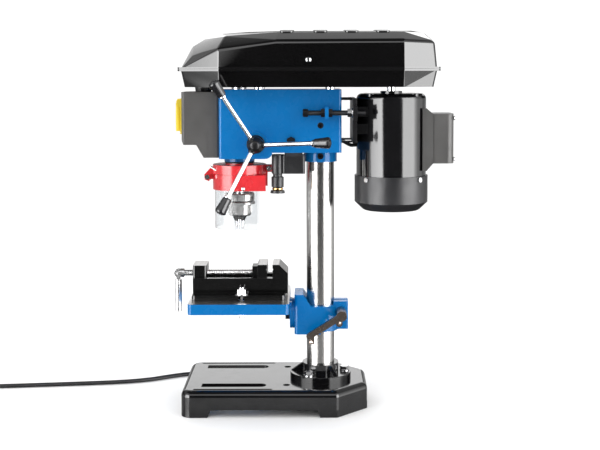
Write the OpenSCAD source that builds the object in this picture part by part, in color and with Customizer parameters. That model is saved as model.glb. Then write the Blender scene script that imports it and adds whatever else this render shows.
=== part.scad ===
// Bench drill press: cast base, round column, belt-driven head, tilting table and drill vise.
// The column axis meets the bench at the origin. The operator stands on the -Y side.

/* [Base] */
// Width of the base casting
base_w = 184; // [172:2:222]
// Reach of the base in front of the column axis
base_front = 225; // [212:1:270]
// Reach of the base behind the column axis
base_rear = 76; // [68:1:92]
// Height of the base casting
base_h = 42; // [34:1:52]
// Wall thickness of the base casting
base_wall = 6; // [5:0.5:9]
// Rounding of the upper edge
base_round = 10; // [6:1:12]
// Height of the arch between the feet
foot_h = 12; // [8:1:14]
// Width of the two work slots in the base
base_slot_w = 19; // [14:1:22]
// Diameter of the two bench bolt holes
bench_hole_d = 11.5; // [9:0.5:13]
// Distance between the two bench bolt holes
bench_hole_gap = 108; // [100:1:118]

/* [Column] */
// Outside diameter of the column
column_d = 46; // [38:1:56]
// Wall thickness of the column tube
column_wall = 3.5; // [2.5:0.5:5]
// Diameter of the flange that stands on the base
flange_d = 102; // [94:1:114]
// Thickness of the flange plate
flange_t = 10; // [8:1:14]
// Height of the flange collar
flange_h = 25; // [20:1:32]
// Thread diameter of the three flange bolts
flange_bolt_d = 8; // [6:1:10]

/* [Head] */
// Height of the head's side faces above the bench
head_z = 421; // [400:1:520]
// Height of the head's side faces
head_h = 102; // [96:1:122]
// Width of the head casting
head_w = 104; // [98:1:124]
// Wall thickness of the head casting
head_wall = 5; // [4:0.5:8]
// Distance from the column axis to the spindle axis
throat = 134; // [130:1:158]

/* [Quill and spindle] */
// Outside diameter of the quill
quill_d = 40; // [34:1:44]
// Travel of the quill
quill_travel = 50; // [35:1:60]
// Diameter of the spindle
spindle_d = 15; // [12:1:18]
// Diameter of the chuck body
chuck_d = 49; // [42:1:54]
// Diameter of one chuck jaw
jaw_d = 7.5; // [5:0.5:7.5]

/* [Feed handle] */
// Radius from the feed shaft to the ends of the grips
handle_r = 118; // [98:1:142]
// Diameter of a spoke
spoke_d = 7; // [5:0.5:9]
// Diameter of the feed shaft
feed_shaft_d = 14; // [12:1:16]
// Number of pinion teeth
pinion_teeth = 20; // [16:1:24]

/* [Belt cover] */
// Width of the cover between its side walls
cover_w = 188; // [182:2:226]
// Reach of the cover in front of the column axis
cover_front = 224; // [222:1:270]
// Reach of the cover behind the column axis
cover_rear = 186; // [186:1:230]
// Wall thickness of the tray and lid
cover_wall = 3; // [2:0.5:4]
// Greatest opening angle of the lid
lid_open_angle = 100; // [60:1:110]

/* [Belt drive] */
// Distance from the column axis to the motor axis
motor_back = 117.6; // [112:0.4:140]
// Effective radius of the spindle pulley's middle step
spindle_step_r = 46; // [40:1:47]
// Effective radius of the motor pulley's middle step
motor_step_r = 36; // [32:1:42]
// Change of radius from one step to the next
step_change = 7; // [5:1:7]
// Height of one pulley step
step_h = 10.5; // [10:0.5:11]

/* [Motor] */
// Diameter of the motor body
motor_d = 115; // [96:1:126]
// Height of the motor body
motor_h = 145; // [120:1:170]
// Diameter of the fan cover
fan_cover_d = 121; // [104:1:134]

/* [Table] */
// Height of the table's upper face above the bench
table_z = 180; // [165:1:230]
// Width of the table
table_w = 160; // [150:2:192]
// Length of the table
table_len = 163; // [157:1:170]
// Thickness of the table plate
table_t = 8; // [6:0.5:9]
// Width of the table's slots
table_slot_w = 12; // [10:0.5:14]

/* [Vise] */
// Width of the vise jaws
vise_w = 60; // [52:1:66]
// Opening between the vise jaws
vise_gap = 9; // [6:1:30]
// Diameter of the vise screw
vise_screw_d = 10.8; // [9:0.2:12]
// Lead of the vise screw, per turn
vise_lead = 3; // [2:0.5:4]

/* [Chuck guard] */
// Outside diameter of the guard
guard_d = 88; // [78:1:92]
// Height of the clear screen below its holder
screen_h = 64; // [50:1:70]
// Thickness of the clear screen
screen_t = 2; // [1.5:0.5:3]

/* [Power cord] */
// Diameter of the power cord
cord_d = 7; // [6:0.5:8]

/* [Hidden] */
$fn = 64;
// Radial clearance between a turning or sliding shaft and its bore
run_gap = 0.05;
// Radial clearance of a fixed piece in its seat
seat_gap = 0.05;
// Radial clearance of the clamp bolt in its ears
clamp_gap = 0.25;
// Clearance between two pieces that move past each other
pass_gap = 0.4;
// How far a cutting shape passes through a face
through = 1;

spindle_y = -throat;
motor_y = motor_back;

// Base
rear_cut = 50;
base_corner_r = 18;
base_inset = base_wall + 1;
arch_front = 182;
arch_rear = 1;
arch_slope = 5;
base_slot_x = 55;
base_slot_front = 194;
base_slot_rear = 89;
groove_w = 6;
groove_depth = 1.6;
groove_front = 206;
groove_rear = 78;
groove_x = base_w / 2 - 14;
bench_hole_y = -56;
bench_boss_d = bench_hole_d + 10;

// Column and flange
column_top = head_z + head_h - head_wall;
flange_bolt_r = flange_d / 2 - 11;
collar_d = column_d + 14;
flange_bolt_len = flange_t + 18;
flange_angles = [90, 210, 330];

// Head
head_top = head_z + head_h;
head_rear = 34;
head_front = throat + 30;
nose_drop = 10;
nose_rear = throat - 56;
nose_d = quill_d + 10;
nose_z = head_z - 17;
boss_d = column_d + 9;
boss_z = head_z - 17.4;
head_edge_r = 5;

// Quill rack and pinion
feed_y = -103.5 + 134 - throat;
feed_z = head_z + 15;
rack_depth = 1;
pinion_r = throat + feed_y - quill_d / 2 + rack_depth;
tooth_module = 2 * pinion_r / pinion_teeth;
tooth_pitch = PI * tooth_module;
rack_w = 16.6;
pinion_w = 16;
tooth_play = 0.35;
quill_low = head_z - 45;
quill_high = quill_low + quill_travel + 72;
feed_boss_d = 37;
feed_boss_x = head_w / 2 + 8;
handle_angle = 2.5;
spoke_lean = 14;
grip_len = 26;

// Chuck
chuck_top = head_z - 70;
chuck_ring_z = chuck_top - 12;
chuck_nose_z = chuck_top - 37.5;
jaw_tip_z = chuck_top - 61;
jaw_tilt = 10;
jaw_len = 30;
jaw_axis_r = 2.5;
jaw_flat_r = 1.2;
jaw_split = 0.8;
sleeve_bore_d = 31;

// Cover
tray_z = head_top + 4;
rim_z = tray_z + 25.5;
rim_t = 3.5;
rim_out = 5;
split_gap = 0.3;
lid_z = rim_z + rim_t + split_gap;
lid_rim_t = 2.7;
lid_edge_r = 10;
lid_corner_r = 8;
cover_taper_front = 158;
cover_taper_rear = 129;
cover_front_w = 0.6 * cover_w;
cover_rear_w = 0.74 * cover_w;
hinge_r = 4;
hinge_pin_d = 4;
hinge_x = -(cover_w / 2 + rim_out + hinge_r + 0.6);
hinge_z = rim_z + rim_t + split_gap / 2;
hinge_ys = [-70, 70];
hinge_len = 40;
knuckle_len = 12;
crown_z = lid_z + 62.4;
hub_d = 25;
hub_low = head_top - 21;

// Pulleys
pulley_z = tray_z + cover_wall + 1.5;
groove_floor = 3.6;
groove_rim = 3.5;
step_wall = 2.2;
belt_h = step_h - 4;
belt_in = 3;
belt_out = 3;
pulley_top = pulley_z + 5 * step_h + step_wall;
spindle_top = pulley_top - 4;

// Motor
motor_top = head_top - 7.4;
motor_low = motor_top - motor_h;
motor_wall = 5;
motor_round = 9;
shaft_d = 14;
fan_cover_h = 45.6;
fan_cover_wall = 2.5;
bracket_y = motor_y - motor_d / 2 - 8.4;
bracket_t = 6.6;
bracket_low = head_z + 15.6;
bracket_high = head_z + 87.5;
tongue_t = 3;
tongue_in = boss_d / 2 + 3.5;
tongue_out = tongue_in + 10;
tongue_y = 4;
rod_x = head_w / 2 + 13;
rod_z = head_z + 64.7;
rod_d = 8;
nut_w = 13;
nut_h = 6.3;
lug_y = 6.8;
lug_t = 5.8;

// Table
tilt_z = table_z - 31;
tilt_flange_d = 50;
table_rear = 51;
table_front = table_rear + table_len;
table_skirt = 17;
table_wall = 6;
tilt_disc_t = 3.6;
disc_gap = 0.3;
tilt_bolt_d = 12;
arm_top = table_z + 5;
arm_low = table_z - 61;
arm_w = column_d + 14;
arm_wall = 7;
ear_y = 46;
ear_gap = 5;
lever_y = column_d / 2 + 11;
lever_z = table_z - 26;
lever_bolt_d = 10;

// Vise
vise_bolt_x = 42;
vise_bolt_y = -129;
vise_bolt_d = 8;
vise_base_t = 8.5;
vise_front = 210;
vise_rear = 58;
rail_top = table_z + 32.6;
jaw_top = table_z + 55;
fixed_jaw_y = -79;
moving_jaw_t = 16;
jaw_block_t = 9;
moving_jaw_y = fixed_jaw_y - vise_gap - moving_jaw_t;
screw_z = table_z + 37;
nut_block_y = -188;
nut_block_t = 23;
screw_end = moving_jaw_y - jaw_block_t / 2;
screw_front = -237;
screw_head_d = 15;
grip_d = 11;

// Guard
guard_top = head_z - 22;
guard_split = head_z - 37;
holder_low = head_z - 63;
guard_wall = 3;
guard_rear = 45;
screen_rear = 31;
screen_low = holder_low - screen_h;
pivot_y = spindle_y - guard_d / 2 - 8.4;
pivot_z = guard_split - 5.5;
pivot_d = 5;

// Switch and lamp
switch_w = 72;
switch_front = throat + 92;
switch_low = head_z - 9;
switch_high = head_top - 4;
plate_t = 3;
button_x = 11;
button_z = head_z + 57;
flap_pin_z = head_z + 82;
flap_pin_y = -switch_front - plate_t - 3.4;
lamp_x = 30;
lamp_y = feed_y + 33.5;
lamp_rear = 2.5 - boss_d / 2;

// Lead from the head to the motor: it ends at the motor's skin
lead_route = [
    [-20, head_rear, 436], [-20, 40, 434.5], [-20, 46, 431], [-21, 52, 428.5], [-22, 58, 428.5],
    [-22, 62.9, 429]];

// Power cord: the route's points from the gland to the coil, then the coil and the plug
gland_x = -(head_w / 2 + 28);
gland_y = 16;
gland_z = head_z + 25;
cord_route = [
    [gland_x, gland_y, 446], [-90, 16, 445], [-101, 16, 438], [-109, 16, 424], [-112, 16, 404],
    [-112, 16, 320], [-112, 16, 220], [-112, 15, 120], [-112, 12, 64], [-114, 6, 34], [-117, -7, 14],
    [-122, -28, 4.5], [-130, -56, 3.6], [-142, -98, 3.6], [-150, -150, 3.6], [-152, -196, 3.6],
    [-146, -238, 3.6], [-130, -272, 3.6], [-112, -304, 3.6], [-98, -350, 3.6], [-88, -420, 3.6],
    [-78, -510, 3.6], [-73, -570, 3.6], [-72, -598, 3.6]];
cord_sides = 8;
cord_rings_per_span = 3;
coil_center = [-110, -622];
coil_mean_r = 38;
coil_w = 15;
plug_tail = [-138, -663.3, 6.2];

HEAD_BLUE = "#0a6cb4";
GLOSS_BLACK = "#141518";
SATIN_BLACK = "#222326";
STEEL = "#a9adb1";
BRIGHT = "#d3d6d9";

// ---- Shared shapes ----

// Box between two opposite corners
module block(low, high) {
    translate(low) cube(high - low);
}

// Round bar along X, from x0 to x1
module bar_x(d, x0, x1) {
    translate([x0, 0, 0]) rotate([0, 90, 0]) cylinder(d = d, h = x1 - x0);
}

// Round bar along Y, from y0 to y1
module bar_y(d, y0, y1) {
    translate([0, y0, 0]) rotate([-90, 0, 0]) cylinder(d = d, h = y1 - y0);
}

// Outline with true arcs at its corners, between two corners in plan
module rounded_plan(low, high, r) {
    translate([low.x + r, low.y]) square([high.x - low.x - 2 * r, high.y - low.y]);
    translate([low.x, low.y + r]) square([high.x - low.x, high.y - low.y - 2 * r]);
    for (x = [low.x + r, high.x - r], y = [low.y + r, high.y - r])
        translate([x, y]) circle(r);
}

// Upright block with rounded vertical edges
module rounded_block(low, high, r) {
    translate([0, 0, low.z])
        linear_extrude(high.z - low.z) rounded_plan([low.x, low.y], [high.x, high.y], r);
}

// Plate whose outline is drawn in the Y-Z plane, centred on X = 0
module side_plate(points, w) {
    translate([-w / 2, 0, 0]) rotate([90, 0, 90]) linear_extrude(w) polygon(points);
}

// Hexagon prism on z = 0, measured across its flats
module hexagon(across, h) {
    cylinder(d = across / cos(30), h = h, $fn = 6);
}

// Bolt with its head standing on z = 0 and its shank downwards
module hex_bolt(d, across, head_h, length) {
    hexagon(across, head_h);
    translate([0, 0, -length]) cylinder(d = d, h = length + head_h / 2);
}

// Slot along Y with round ends, cut upwards from z = 0
module slot_y(w, y0, y1, h) {
    block([-w / 2, y0 + w / 2, 0], [w / 2, y1 - w / 2, h]);
    for (y = [y0 + w / 2, y1 - w / 2])
        translate([0, y, 0]) cylinder(d = w, h = h);
}

// ---- Base and column ----

// Outline of the base: round front corners and cut rear corners, moved inwards by an inset
module base_plan(inset) {
    w = base_w / 2 - inset;
    front = base_front - inset;
    rear = base_rear - inset;
    r = base_corner_r - inset;
    cut = rear_cut - inset * (2 - sqrt(2));
    polygon([
        [-w, r - front], [r - w, -front], [w - r, -front], [w, r - front],
        [w, rear - cut], [w - cut, rear], [cut - w, rear], [-w, rear - cut]]);
    for (x = [r - w, w - r])
        translate([x, r - front]) circle(r);
}

// Post whose upper edge is rounded, a corner of the base
module base_post(r) {
    cylinder(r = r, h = 1, $fn = 32);
    translate([0, 0, base_h - foot_h - base_round])
        rotate_extrude($fn = 32) translate([r - base_round, 0])
            intersection() {
                circle(base_round, $fn = 32);
                translate([base_round - r, 0]) square([r, base_round]);
            }
}

// Everything of the base above the feet
module base_upper() {
    w = base_w / 2 - base_round;
    rear = base_rear - base_round;
    cut = rear_cut - base_round * (2 - sqrt(2));
    translate([0, 0, foot_h]) hull() {
        for (side = [-1, 1]) {
            translate([side * (base_w / 2 - base_corner_r), base_corner_r - base_front])
                base_post(base_corner_r);
            translate([side * w, rear - cut]) base_post(base_round);
            translate([side * (w - cut), rear]) base_post(base_round);
        }
    }
}

module base() {
    color(GLOSS_BLACK) difference() {
        union() {
            difference() {
                union() {
                    linear_extrude(foot_h) base_plan(0);
                    base_upper();
                }
                translate([0, 0, -through])
                    linear_extrude(base_h - base_wall + through) base_plan(base_inset);
            }
            // boss under the column flange, and the bosses of the bench bolts
            translate([0, 0, foot_h]) cylinder(d = flange_d - 6, h = base_h - foot_h - base_wall / 2);
            for (side = [-1, 1])
                translate([side * bench_hole_gap / 2, bench_hole_y, foot_h])
                    cylinder(d = bench_boss_d, h = base_h - foot_h - base_wall / 2);
        }
        side_plate([
            [-arch_front, -through], [arch_slope - arch_front, foot_h],
            [-arch_rear - arch_slope, foot_h], [-arch_rear, -through]], base_w + 2 * through);
        for (side = [-1, 1]) {
            translate([side * bench_hole_gap / 2, bench_hole_y, 0]) cylinder(d = bench_hole_d, h = base_h + through);
            // work slot: square at the front and round at the rear
            translate([side * base_slot_x, 0, 0]) {
                slot_y(base_slot_w, base_slot_w - base_slot_front, -base_slot_rear, base_h + through);
                block([-base_slot_w / 2, -base_slot_front, 0],
                    [base_slot_w / 2, base_slot_w * 1.6 - base_slot_front, base_h + through]);
            }
            translate([side * groove_x, 0, base_h - groove_depth])
                slot_y(groove_w, -groove_front, -groove_rear, base_h);
        }
        for (a = flange_angles)
            rotate(a) translate([flange_bolt_r, 0, base_h + flange_t - flange_bolt_len - through])
                cylinder(d = flange_bolt_d + 2 * seat_gap, h = flange_bolt_len + 2 * through);
    }
}

module column_flange() {
    collar_r = collar_d / 2;
    color(GLOSS_BLACK) translate([0, 0, base_h]) difference() {
        union() {
            cylinder(d = flange_d, h = flange_t);
            cylinder(d = collar_d, h = flange_h);
            // three ribs between the bolts
            for (a = flange_angles)
                rotate([90, 0, a + 60]) translate([0, 0, -3]) linear_extrude(6)
                    polygon([[collar_r - 2, 0], [flange_d / 2 - 2, 0], [flange_d / 2 - 2, flange_t],
                        [collar_r, flange_h - 2], [collar_r - 2, flange_h - 2]]);
        }
        translate([0, 0, -through])
            cylinder(d = column_d + 2 * seat_gap, h = flange_h + 2 * through);
        for (a = flange_angles)
            rotate(a) translate([flange_bolt_r, 0, -through])
                cylinder(d = flange_bolt_d + 2 * seat_gap, h = flange_h + 2 * through);
        for (a = flange_angles)
            rotate(a) translate([flange_bolt_r, 0, flange_t])
                cylinder(d = 2.1 * flange_bolt_d, h = flange_h);
    }
}

module flange_bolts() {
    color(BRIGHT) for (a = flange_angles)
        rotate(a) translate([flange_bolt_r, 0, base_h + flange_t]) {
            cylinder(d = 2 * flange_bolt_d, h = 1.6);
            translate([0, 0, 1.6]) hex_bolt(flange_bolt_d, 1.6 * flange_bolt_d, 5.5, flange_bolt_len);
        }
}

module column() {
    color(STEEL) translate([0, 0, base_h]) difference() {
        cylinder(d = column_d, h = column_top - base_h);
        translate([0, 0, -through])
            cylinder(d = column_d - 2 * column_wall, h = column_top - base_h + 2 * through);
    }
}

// ---- Head ----

// Side view of the head: a straight body, and a nose that drops lower round the quill
function head_outline() =
    let (fillet = 12)
    concat(
        [[-head_front, head_top], [-head_front, head_z - nose_drop],
            [-nose_rear - fillet, head_z - nose_drop]],
        [for (a = [0:15:75]) [-nose_rear - fillet + fillet * sin(a),
            head_z - nose_drop + nose_drop * (1 - cos(a))]],
        [[-nose_rear, head_z], [head_rear, head_z], [head_rear, head_top]]);

// Upper and lower tongues of the motor bracket on each side, made wider by a gap for their slots
module bracket_tongues(y0, y1, gap) {
    for (side = [-1, 1], z = [bracket_low, bracket_high - tongue_t])
        translate([side * (tongue_in + tongue_out) / 2, 0, z + tongue_t / 2])
            block([(tongue_in - tongue_out) / 2 - gap, y0, -tongue_t / 2 - gap],
                [(tongue_out - tongue_in) / 2 + gap, y1, tongue_t / 2 + gap]);
}

module head_casting() {
    in_w = head_w / 2 - head_wall;
    color(HEAD_BLUE) difference() {
        union() {
            difference() {
                intersection() {
                    side_plate(head_outline(), head_w);
                    rounded_block([-head_w / 2, -head_front, nose_z],
                        [head_w / 2, head_rear, head_top], head_edge_r);
                }
                block([-in_w, head_wall - head_front, nose_z - through],
                    [in_w, head_rear - head_wall, head_top - head_wall]);
            }
            translate([0, spindle_y, nose_z]) cylinder(d = nose_d, h = head_top - nose_z);
            translate([0, 0, boss_z]) cylinder(d = boss_d, h = head_top - boss_z);
            // bearings of the feed shaft, outside and inside the right wall and inside the left wall
            translate([0, feed_y, feed_z]) {
                bar_x(feed_boss_d, in_w, feed_boss_x);
                bar_x(feed_shaft_d + 10, rack_w / 2 + 2, in_w + 1);
                bar_x(feed_shaft_d + 10, -in_w - 1, -rack_w / 2 - 2);
            }
            // boss of the upper column screw
            translate([0, 0, head_z + 44]) bar_x(18, column_d / 2 + 2, in_w + 1);
            // lug of the belt tension rod
            block([in_w, lug_y, rod_z - 9], [rod_x + 8, lug_y + lug_t, rod_z + 9]);
        }
        translate([0, 0, boss_z - through]) cylinder(d = column_d + 2 * seat_gap, h = column_top - boss_z + through);
        translate([0, spindle_y, nose_z - through])
            cylinder(d = quill_d + 2 * run_gap, h = quill_high + 4 - nose_z + through);
        translate([0, spindle_y, nose_z]) cylinder(d = hub_d + 2 * run_gap, h = head_top - nose_z + through);
        translate([0, feed_y, feed_z]) {
            bar_x(feed_shaft_d + 2 * run_gap, -head_w / 2 - through, feed_boss_x + through);
            bar_x(2 * pinion_r + 6, -rack_w / 2 - 0.5, rack_w / 2 + 0.5);
        }
        bracket_tongues(head_rear - head_wall - through, head_rear + through, pass_gap);
        translate([rod_x, 0, rod_z]) bar_y(rod_d + 2 * seat_gap, lug_y - through, lug_y + lug_t + through);
        for (x = [0, 1])
            translate([0, 0, x == 0 ? head_z + 44 : head_z - 7.5])
                bar_x(10 + 2 * seat_gap, column_d / 2, x == 0 ? head_w : boss_d);
        translate([0, -47.5, head_z + 19]) bar_x(8 + 2 * seat_gap, in_w - through, head_w);
        // cord and motor lead entries, and the threaded holes of the tray screws
        translate([0, gland_y, gland_z]) bar_x(10 + 2 * seat_gap, -head_w, -in_w + through);
        for (p = tray_screw_places())
            translate([p.x, p.y, head_top - 14]) cylinder(d = 6 + 2 * seat_gap, h = 20);
    }
}

// The two socket screws that hold the column, and the slide bolt with its nut
module head_screws() {
    color(BRIGHT) {
        for (upper = [true, false])
            translate([0, 0, upper ? head_z + 44 : head_z - 7.5]) difference() {
                bar_x(10, column_d / 2 + seat_gap, upper ? head_w / 2 - 1 : boss_d / 2 + 2);
                translate([upper ? head_w / 2 - 5 : boss_d / 2 - 2, 0, 0]) rotate([0, 90, 0]) hexagon(5, 10);
            }
        translate([0, -47.5, head_z + 19]) {
            bar_x(8, head_w / 2 - head_wall, head_w / 2 + 11);
            translate([head_w / 2, 0, 0]) rotate([0, 90, 0]) hexagon(nut_w, nut_h);
        }
    }
}

// Housing of the return spring on the left of the head
module spring_cap() {
    color(SATIN_BLACK) translate([0, feed_y, feed_z]) difference() {
        bar_x(42, -head_w / 2 - 18, -head_w / 2);
        bar_x(36, -head_w / 2 - 15.5, -head_w / 2 + through);
    }
}

function tray_screw_places() = [for (x = [-39, 39], y = [-100, 16]) [x, y]];

// ---- Belt cover ----

// Corners of the cover in plan, moved outwards by a distance
function cover_corners(out) =
    let (w = cover_w / 2 + out, wf = cover_front_w / 2 + out, wr = cover_rear_w / 2 + out)
    [for (side = [-1, 1], p = [
        [wf, -cover_front - out], [w, -cover_taper_front], [w, cover_taper_rear], [wr, cover_rear + out]])
        [side * p.x, p.y]];

// Slice of the cover: a plate with rounded corners
module cover_slice(out, z, h) {
    translate([0, 0, z]) for (p = cover_corners(out - lid_corner_r))
        translate([p.x, p.y, 0]) cylinder(r = lid_corner_r, h = h, $fn = 32);
}

// Bowl of the tray, made smaller all round by a wall
module tray_bowl(wall) {
    hull() {
        cover_slice(-5 - wall, tray_z + wall, 1);
        cover_slice(-wall, rim_z + (wall > 0 ? rim_t + through : 0), 0.5);
    }
}

// Flange round the open edge
module cover_rim(z, h) {
    hull() cover_slice(rim_out, z, h);
}

// Knuckles of the hinge: the outer pair belongs to the tray, the middle one to the lid
module hinge_knuckles(outer) {
    for (y = hinge_ys, k = outer ? [-1, 1] : [0]) {
        place = y + k * (hinge_len - knuckle_len) / 2;
        long = outer ? knuckle_len : hinge_len - 2 * knuckle_len - 2 * pass_gap;
        translate([hinge_x, 0, hinge_z]) bar_y(2 * hinge_r, place - long / 2, place + long / 2);
        block([hinge_x, place - long / 2, outer ? rim_z : lid_z],
            [-cover_w / 2, place + long / 2, outer ? rim_z + rim_t : lid_z + lid_rim_t]);
    }
}

module cover_tray() {
    color(GLOSS_BLACK) {
        difference() {
            union() {
                tray_bowl(0);
                cover_rim(rim_z, rim_t);
                hinge_knuckles(true);
            }
            tray_bowl(cover_wall);
            for (y = hinge_ys)
                translate([hinge_x, 0, hinge_z]) bar_y(2 * (hinge_r + pass_gap),
                    y - hinge_len / 2 + knuckle_len, y + hinge_len / 2 - knuckle_len);
            translate([0, spindle_y, tray_z - through]) cylinder(d = hub_d + 10, h = 20);
            translate([0, motor_y, tray_z - through]) slot_y(shaft_d + 10, -26, 20, 20);
            for (p = tray_screw_places())
                translate([p.x, p.y, tray_z - through]) cylinder(d = 6 + 2 * seat_gap, h = 20);
        }
        for (y = hinge_ys)
            translate([hinge_x, 0, hinge_z]) bar_y(hinge_pin_d, y - hinge_len / 2, y + hinge_len / 2);
    }
}

// Spacers between the head and the tray, each with its screw
module tray_fasteners() {
    color(STEEL) for (p = tray_screw_places())
        translate([p.x, p.y, head_top]) {
            cylinder(d = 14, h = tray_z - head_top);
            translate([0, 0, tray_z + cover_wall - head_top]) cylinder(d = 12, h = 3.5);
            translate([0, 0, -12]) cylinder(d = 6, h = tray_z + cover_wall - head_top + 12);
        }
}

// Centres of the balls whose hull is the lid: front, sides and crown, given on the +X side
function lid_ridge() = [
    [0, 21 - cover_front, -33], [0, 39 - cover_front, -22], [0, -161, -14.5], [0, -116, -11.5],
    [0, -60, -10], [0, 149, -10], [0, 167, -13], [0, cover_rear - 11, -21],
    [cover_front_w / 2 - 16, 25 - cover_front, -47], [cover_w / 2 - 16, -cover_taper_front, -37],
    [cover_w / 2 - 14, -70, -25], [cover_w / 2 - 14, cover_taper_rear, -24],
    [cover_rear_w / 2 - 12, cover_rear - 13, -26], [0.26 * cover_w, -150, -19.5],
    [0.28 * cover_w, -66, -13.5], [0.28 * cover_w, 132, -13]];

// Domed lid, grown or shrunk all round by a distance
module lid_dome(out) {
    hull() {
        cover_slice(out, lid_z - (out < 0 ? through : 0), 1);
        for (side = [-1, 1], p = lid_ridge())
            translate([side * p.x, p.y, crown_z + p.z]) sphere(lid_edge_r + out, $fn = 24);
    }
}

module cover_lid() {
    color(GLOSS_BLACK) difference() {
        union() {
            lid_dome(0);
            cover_rim(lid_z, lid_rim_t);
            hinge_knuckles(false);
            // four raised bands across the crown
            intersection() {
                lid_dome(1.7);
                for (y = [-54, 0, 50, 100])
                    rounded_block([-58, y - 11, crown_z - 14], [58, y + 11, crown_z + 4], 6);
            }
        }
        lid_dome(-cover_wall);
        for (y = hinge_ys, k = [-1, 1])
            translate([hinge_x, 0, hinge_z])
                bar_y(2 * (hinge_r + pass_gap), y + k * hinge_len / 2 - (k < 0 ? 0 : knuckle_len) - pass_gap / 2,
                    y + k * hinge_len / 2 + (k < 0 ? knuckle_len : 0) + pass_gap / 2);
        for (y = hinge_ys)
            translate([hinge_x, 0, hinge_z])
                bar_y(hinge_pin_d + 2 * run_gap, y - hinge_len / 2, y + hinge_len / 2);
        translate([0, -19.4, lid_z + 13.7]) bar_x(5 + 2 * seat_gap, cover_w / 2 - 12, cover_w / 2 + 6);
    }
}

// Screw that keeps the lid shut
module lid_screw() {
    color(BRIGHT) translate([0, -19.4, lid_z + 13.7]) {
        bar_x(5, cover_w / 2 - 12, cover_w / 2 + 1);
        translate([cover_w / 2 - 1, 0, 0]) rotate([0, 90, 0]) cylinder(d = 9, h = 2.4);
        translate([cover_w / 2 + 1.4, 0, 0]) rotate([0, 90, 0]) cylinder(d1 = 9, d2 = 5, h = 1.6);
    }
}

// ---- Switch, lamp and wiring on the head ----

module switch_box() {
    back = -head_front - seat_gap;
    color("#33363a") difference() {
        intersection() {
            side_plate([[-switch_front, switch_high], [-switch_front, switch_low + 29],
                [3 - switch_front, switch_low + 21], [24 - switch_front, switch_low + 21],
                [36 - switch_front, switch_low], [back, switch_low], [back, switch_high]], switch_w);
            rounded_block([-switch_w / 2, -switch_front, switch_low],
                [switch_w / 2, back, switch_high], 5);
        }
        block([3 - switch_w / 2, 3 - switch_front, switch_low + 24],
            [switch_w / 2 - 3, back + through, switch_high - 3]);
        for (side = [-1, 1])
            translate([side * button_x, 0, button_z]) bar_y(18, -switch_front - through, 4 - switch_front);
        translate([0, (16 - head_front - switch_front) / 2 - 6, switch_high - 4]) cylinder(d = 14, h = 6);
    }
}

// Frame round the two buttons, with the ears of the flap's hinge
module switch_plate() {
    color("#e7c21d") difference() {
        union() {
            block([-25, -switch_front - plate_t, head_z + 29], [25, -switch_front, head_z + 87]);
            for (side = [-1, 1])
                translate([side * 24.5, 0, 0]) side_plate([[-switch_front - plate_t - 7, flap_pin_z - 4],
                    [-switch_front, flap_pin_z - 12], [-switch_front, flap_pin_z + 5],
                    [-switch_front - plate_t - 4, flap_pin_z + 5]], 3);
        }
        for (side = [-1, 1])
            translate([side * button_x, 0, button_z])
                bar_y(18, -switch_front - plate_t - through, through - switch_front);
        translate([0, flap_pin_y, flap_pin_z]) bar_x(3, -30, 30);
    }
}

// Spring-loaded flap that covers both buttons, with its hinge pins
module switch_flap() {
    front = -switch_front - plate_t - 7.5;
    color("#f0cb22") {
        difference() {
            union() {
                rounded_block([-22, front, head_z + 34], [22, front + 7, flap_pin_z - 3.6], 2.5);
                intersection() {
                    translate([0, flap_pin_y, flap_pin_z]) bar_x(6.4, -22, 22);
                    block([-22, front, head_z], [22, -switch_front - plate_t - 0.2, head_top]);
                }
                block([-22, front + 1.5, flap_pin_z - 5], [22, flap_pin_y + 1, flap_pin_z]);
            }
            block([-20, front + 2, head_z + 36], [20, front + 9, flap_pin_z - 6]);
        }
        translate([0, flap_pin_y, flap_pin_z]) bar_x(2.6, -26, 26);
    }
}

module push_button(x, d) {
    translate([x, 0, button_z]) {
        bar_y(16, -switch_front - plate_t - 1, -switch_front + 0.6);
        bar_y(d, -switch_front - plate_t - 3, -switch_front - plate_t);
    }
}

module start_button() {
    color("#2d9a4a") push_button(-button_x, 15);
}

module stop_button() {
    color("#c0241f") push_button(button_x, 15.9);
}

// Grommet that carries the wires between the switch box and the tray
module wiring_grommet() {
    color(SATIN_BLACK) translate([0, (16 - head_front - switch_front) / 2 - 6, 0]) {
        translate([0, 0, switch_high]) rotate_extrude()
            polygon([[4, 0], [13, 0], [14, tray_z - switch_high], [4, tray_z - switch_high]]);
        translate([0, 0, switch_high - 4]) difference() {
            cylinder(d = 13.8, h = 5);
            translate([0, 0, -through]) cylinder(d = 8, h = 8);
        }
    }
}

// Housing of the lamp's wiring under the head
module lamp_box() {
    color(SATIN_BLACK) {
        rounded_block([lamp_x - 18, lamp_y + 8, head_z - 35], [lamp_x + 10, lamp_rear, head_z - 5], 4);
        for (y = [lamp_y + 14:5:lamp_rear - 5])
            block([lamp_x + 9, y, head_z - 30], [lamp_x + 11, y + 2, head_z - 8]);
        block([lamp_x - 14, lamp_y + 12, head_z - 6], [head_w / 2 - 0.2, lamp_rear - 4, head_z - 0.1]);
        block([lamp_x - 4, lamp_y, head_z - 32], [lamp_x + 4, lamp_y + 10, head_z - 20]);
    }
}

// Work lamp: barrel, rings, cap and flared shade
module lamp_body() {
    low = head_z - 67;
    color(SATIN_BLACK) translate([lamp_x, lamp_y, 0]) difference() {
        rotate_extrude() polygon([
            [0, head_z - 4], [9.5, head_z - 4], [9.5, head_z - 35], [7.5, head_z - 36], [7.5, head_z - 40],
            [10, head_z - 41], [10, low + 10], [6, low + 9], [6, low + 5], [11, low + 4], [12, low], [0, low]]);
        translate([0, 0, low - through]) cylinder(r1 = 11.5, r2 = 7, h = 5);
        translate([0, 0, -through]) block([-3, 9.2, head_z - 32], [3, 12, head_z - 20]);
    }
}

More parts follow.
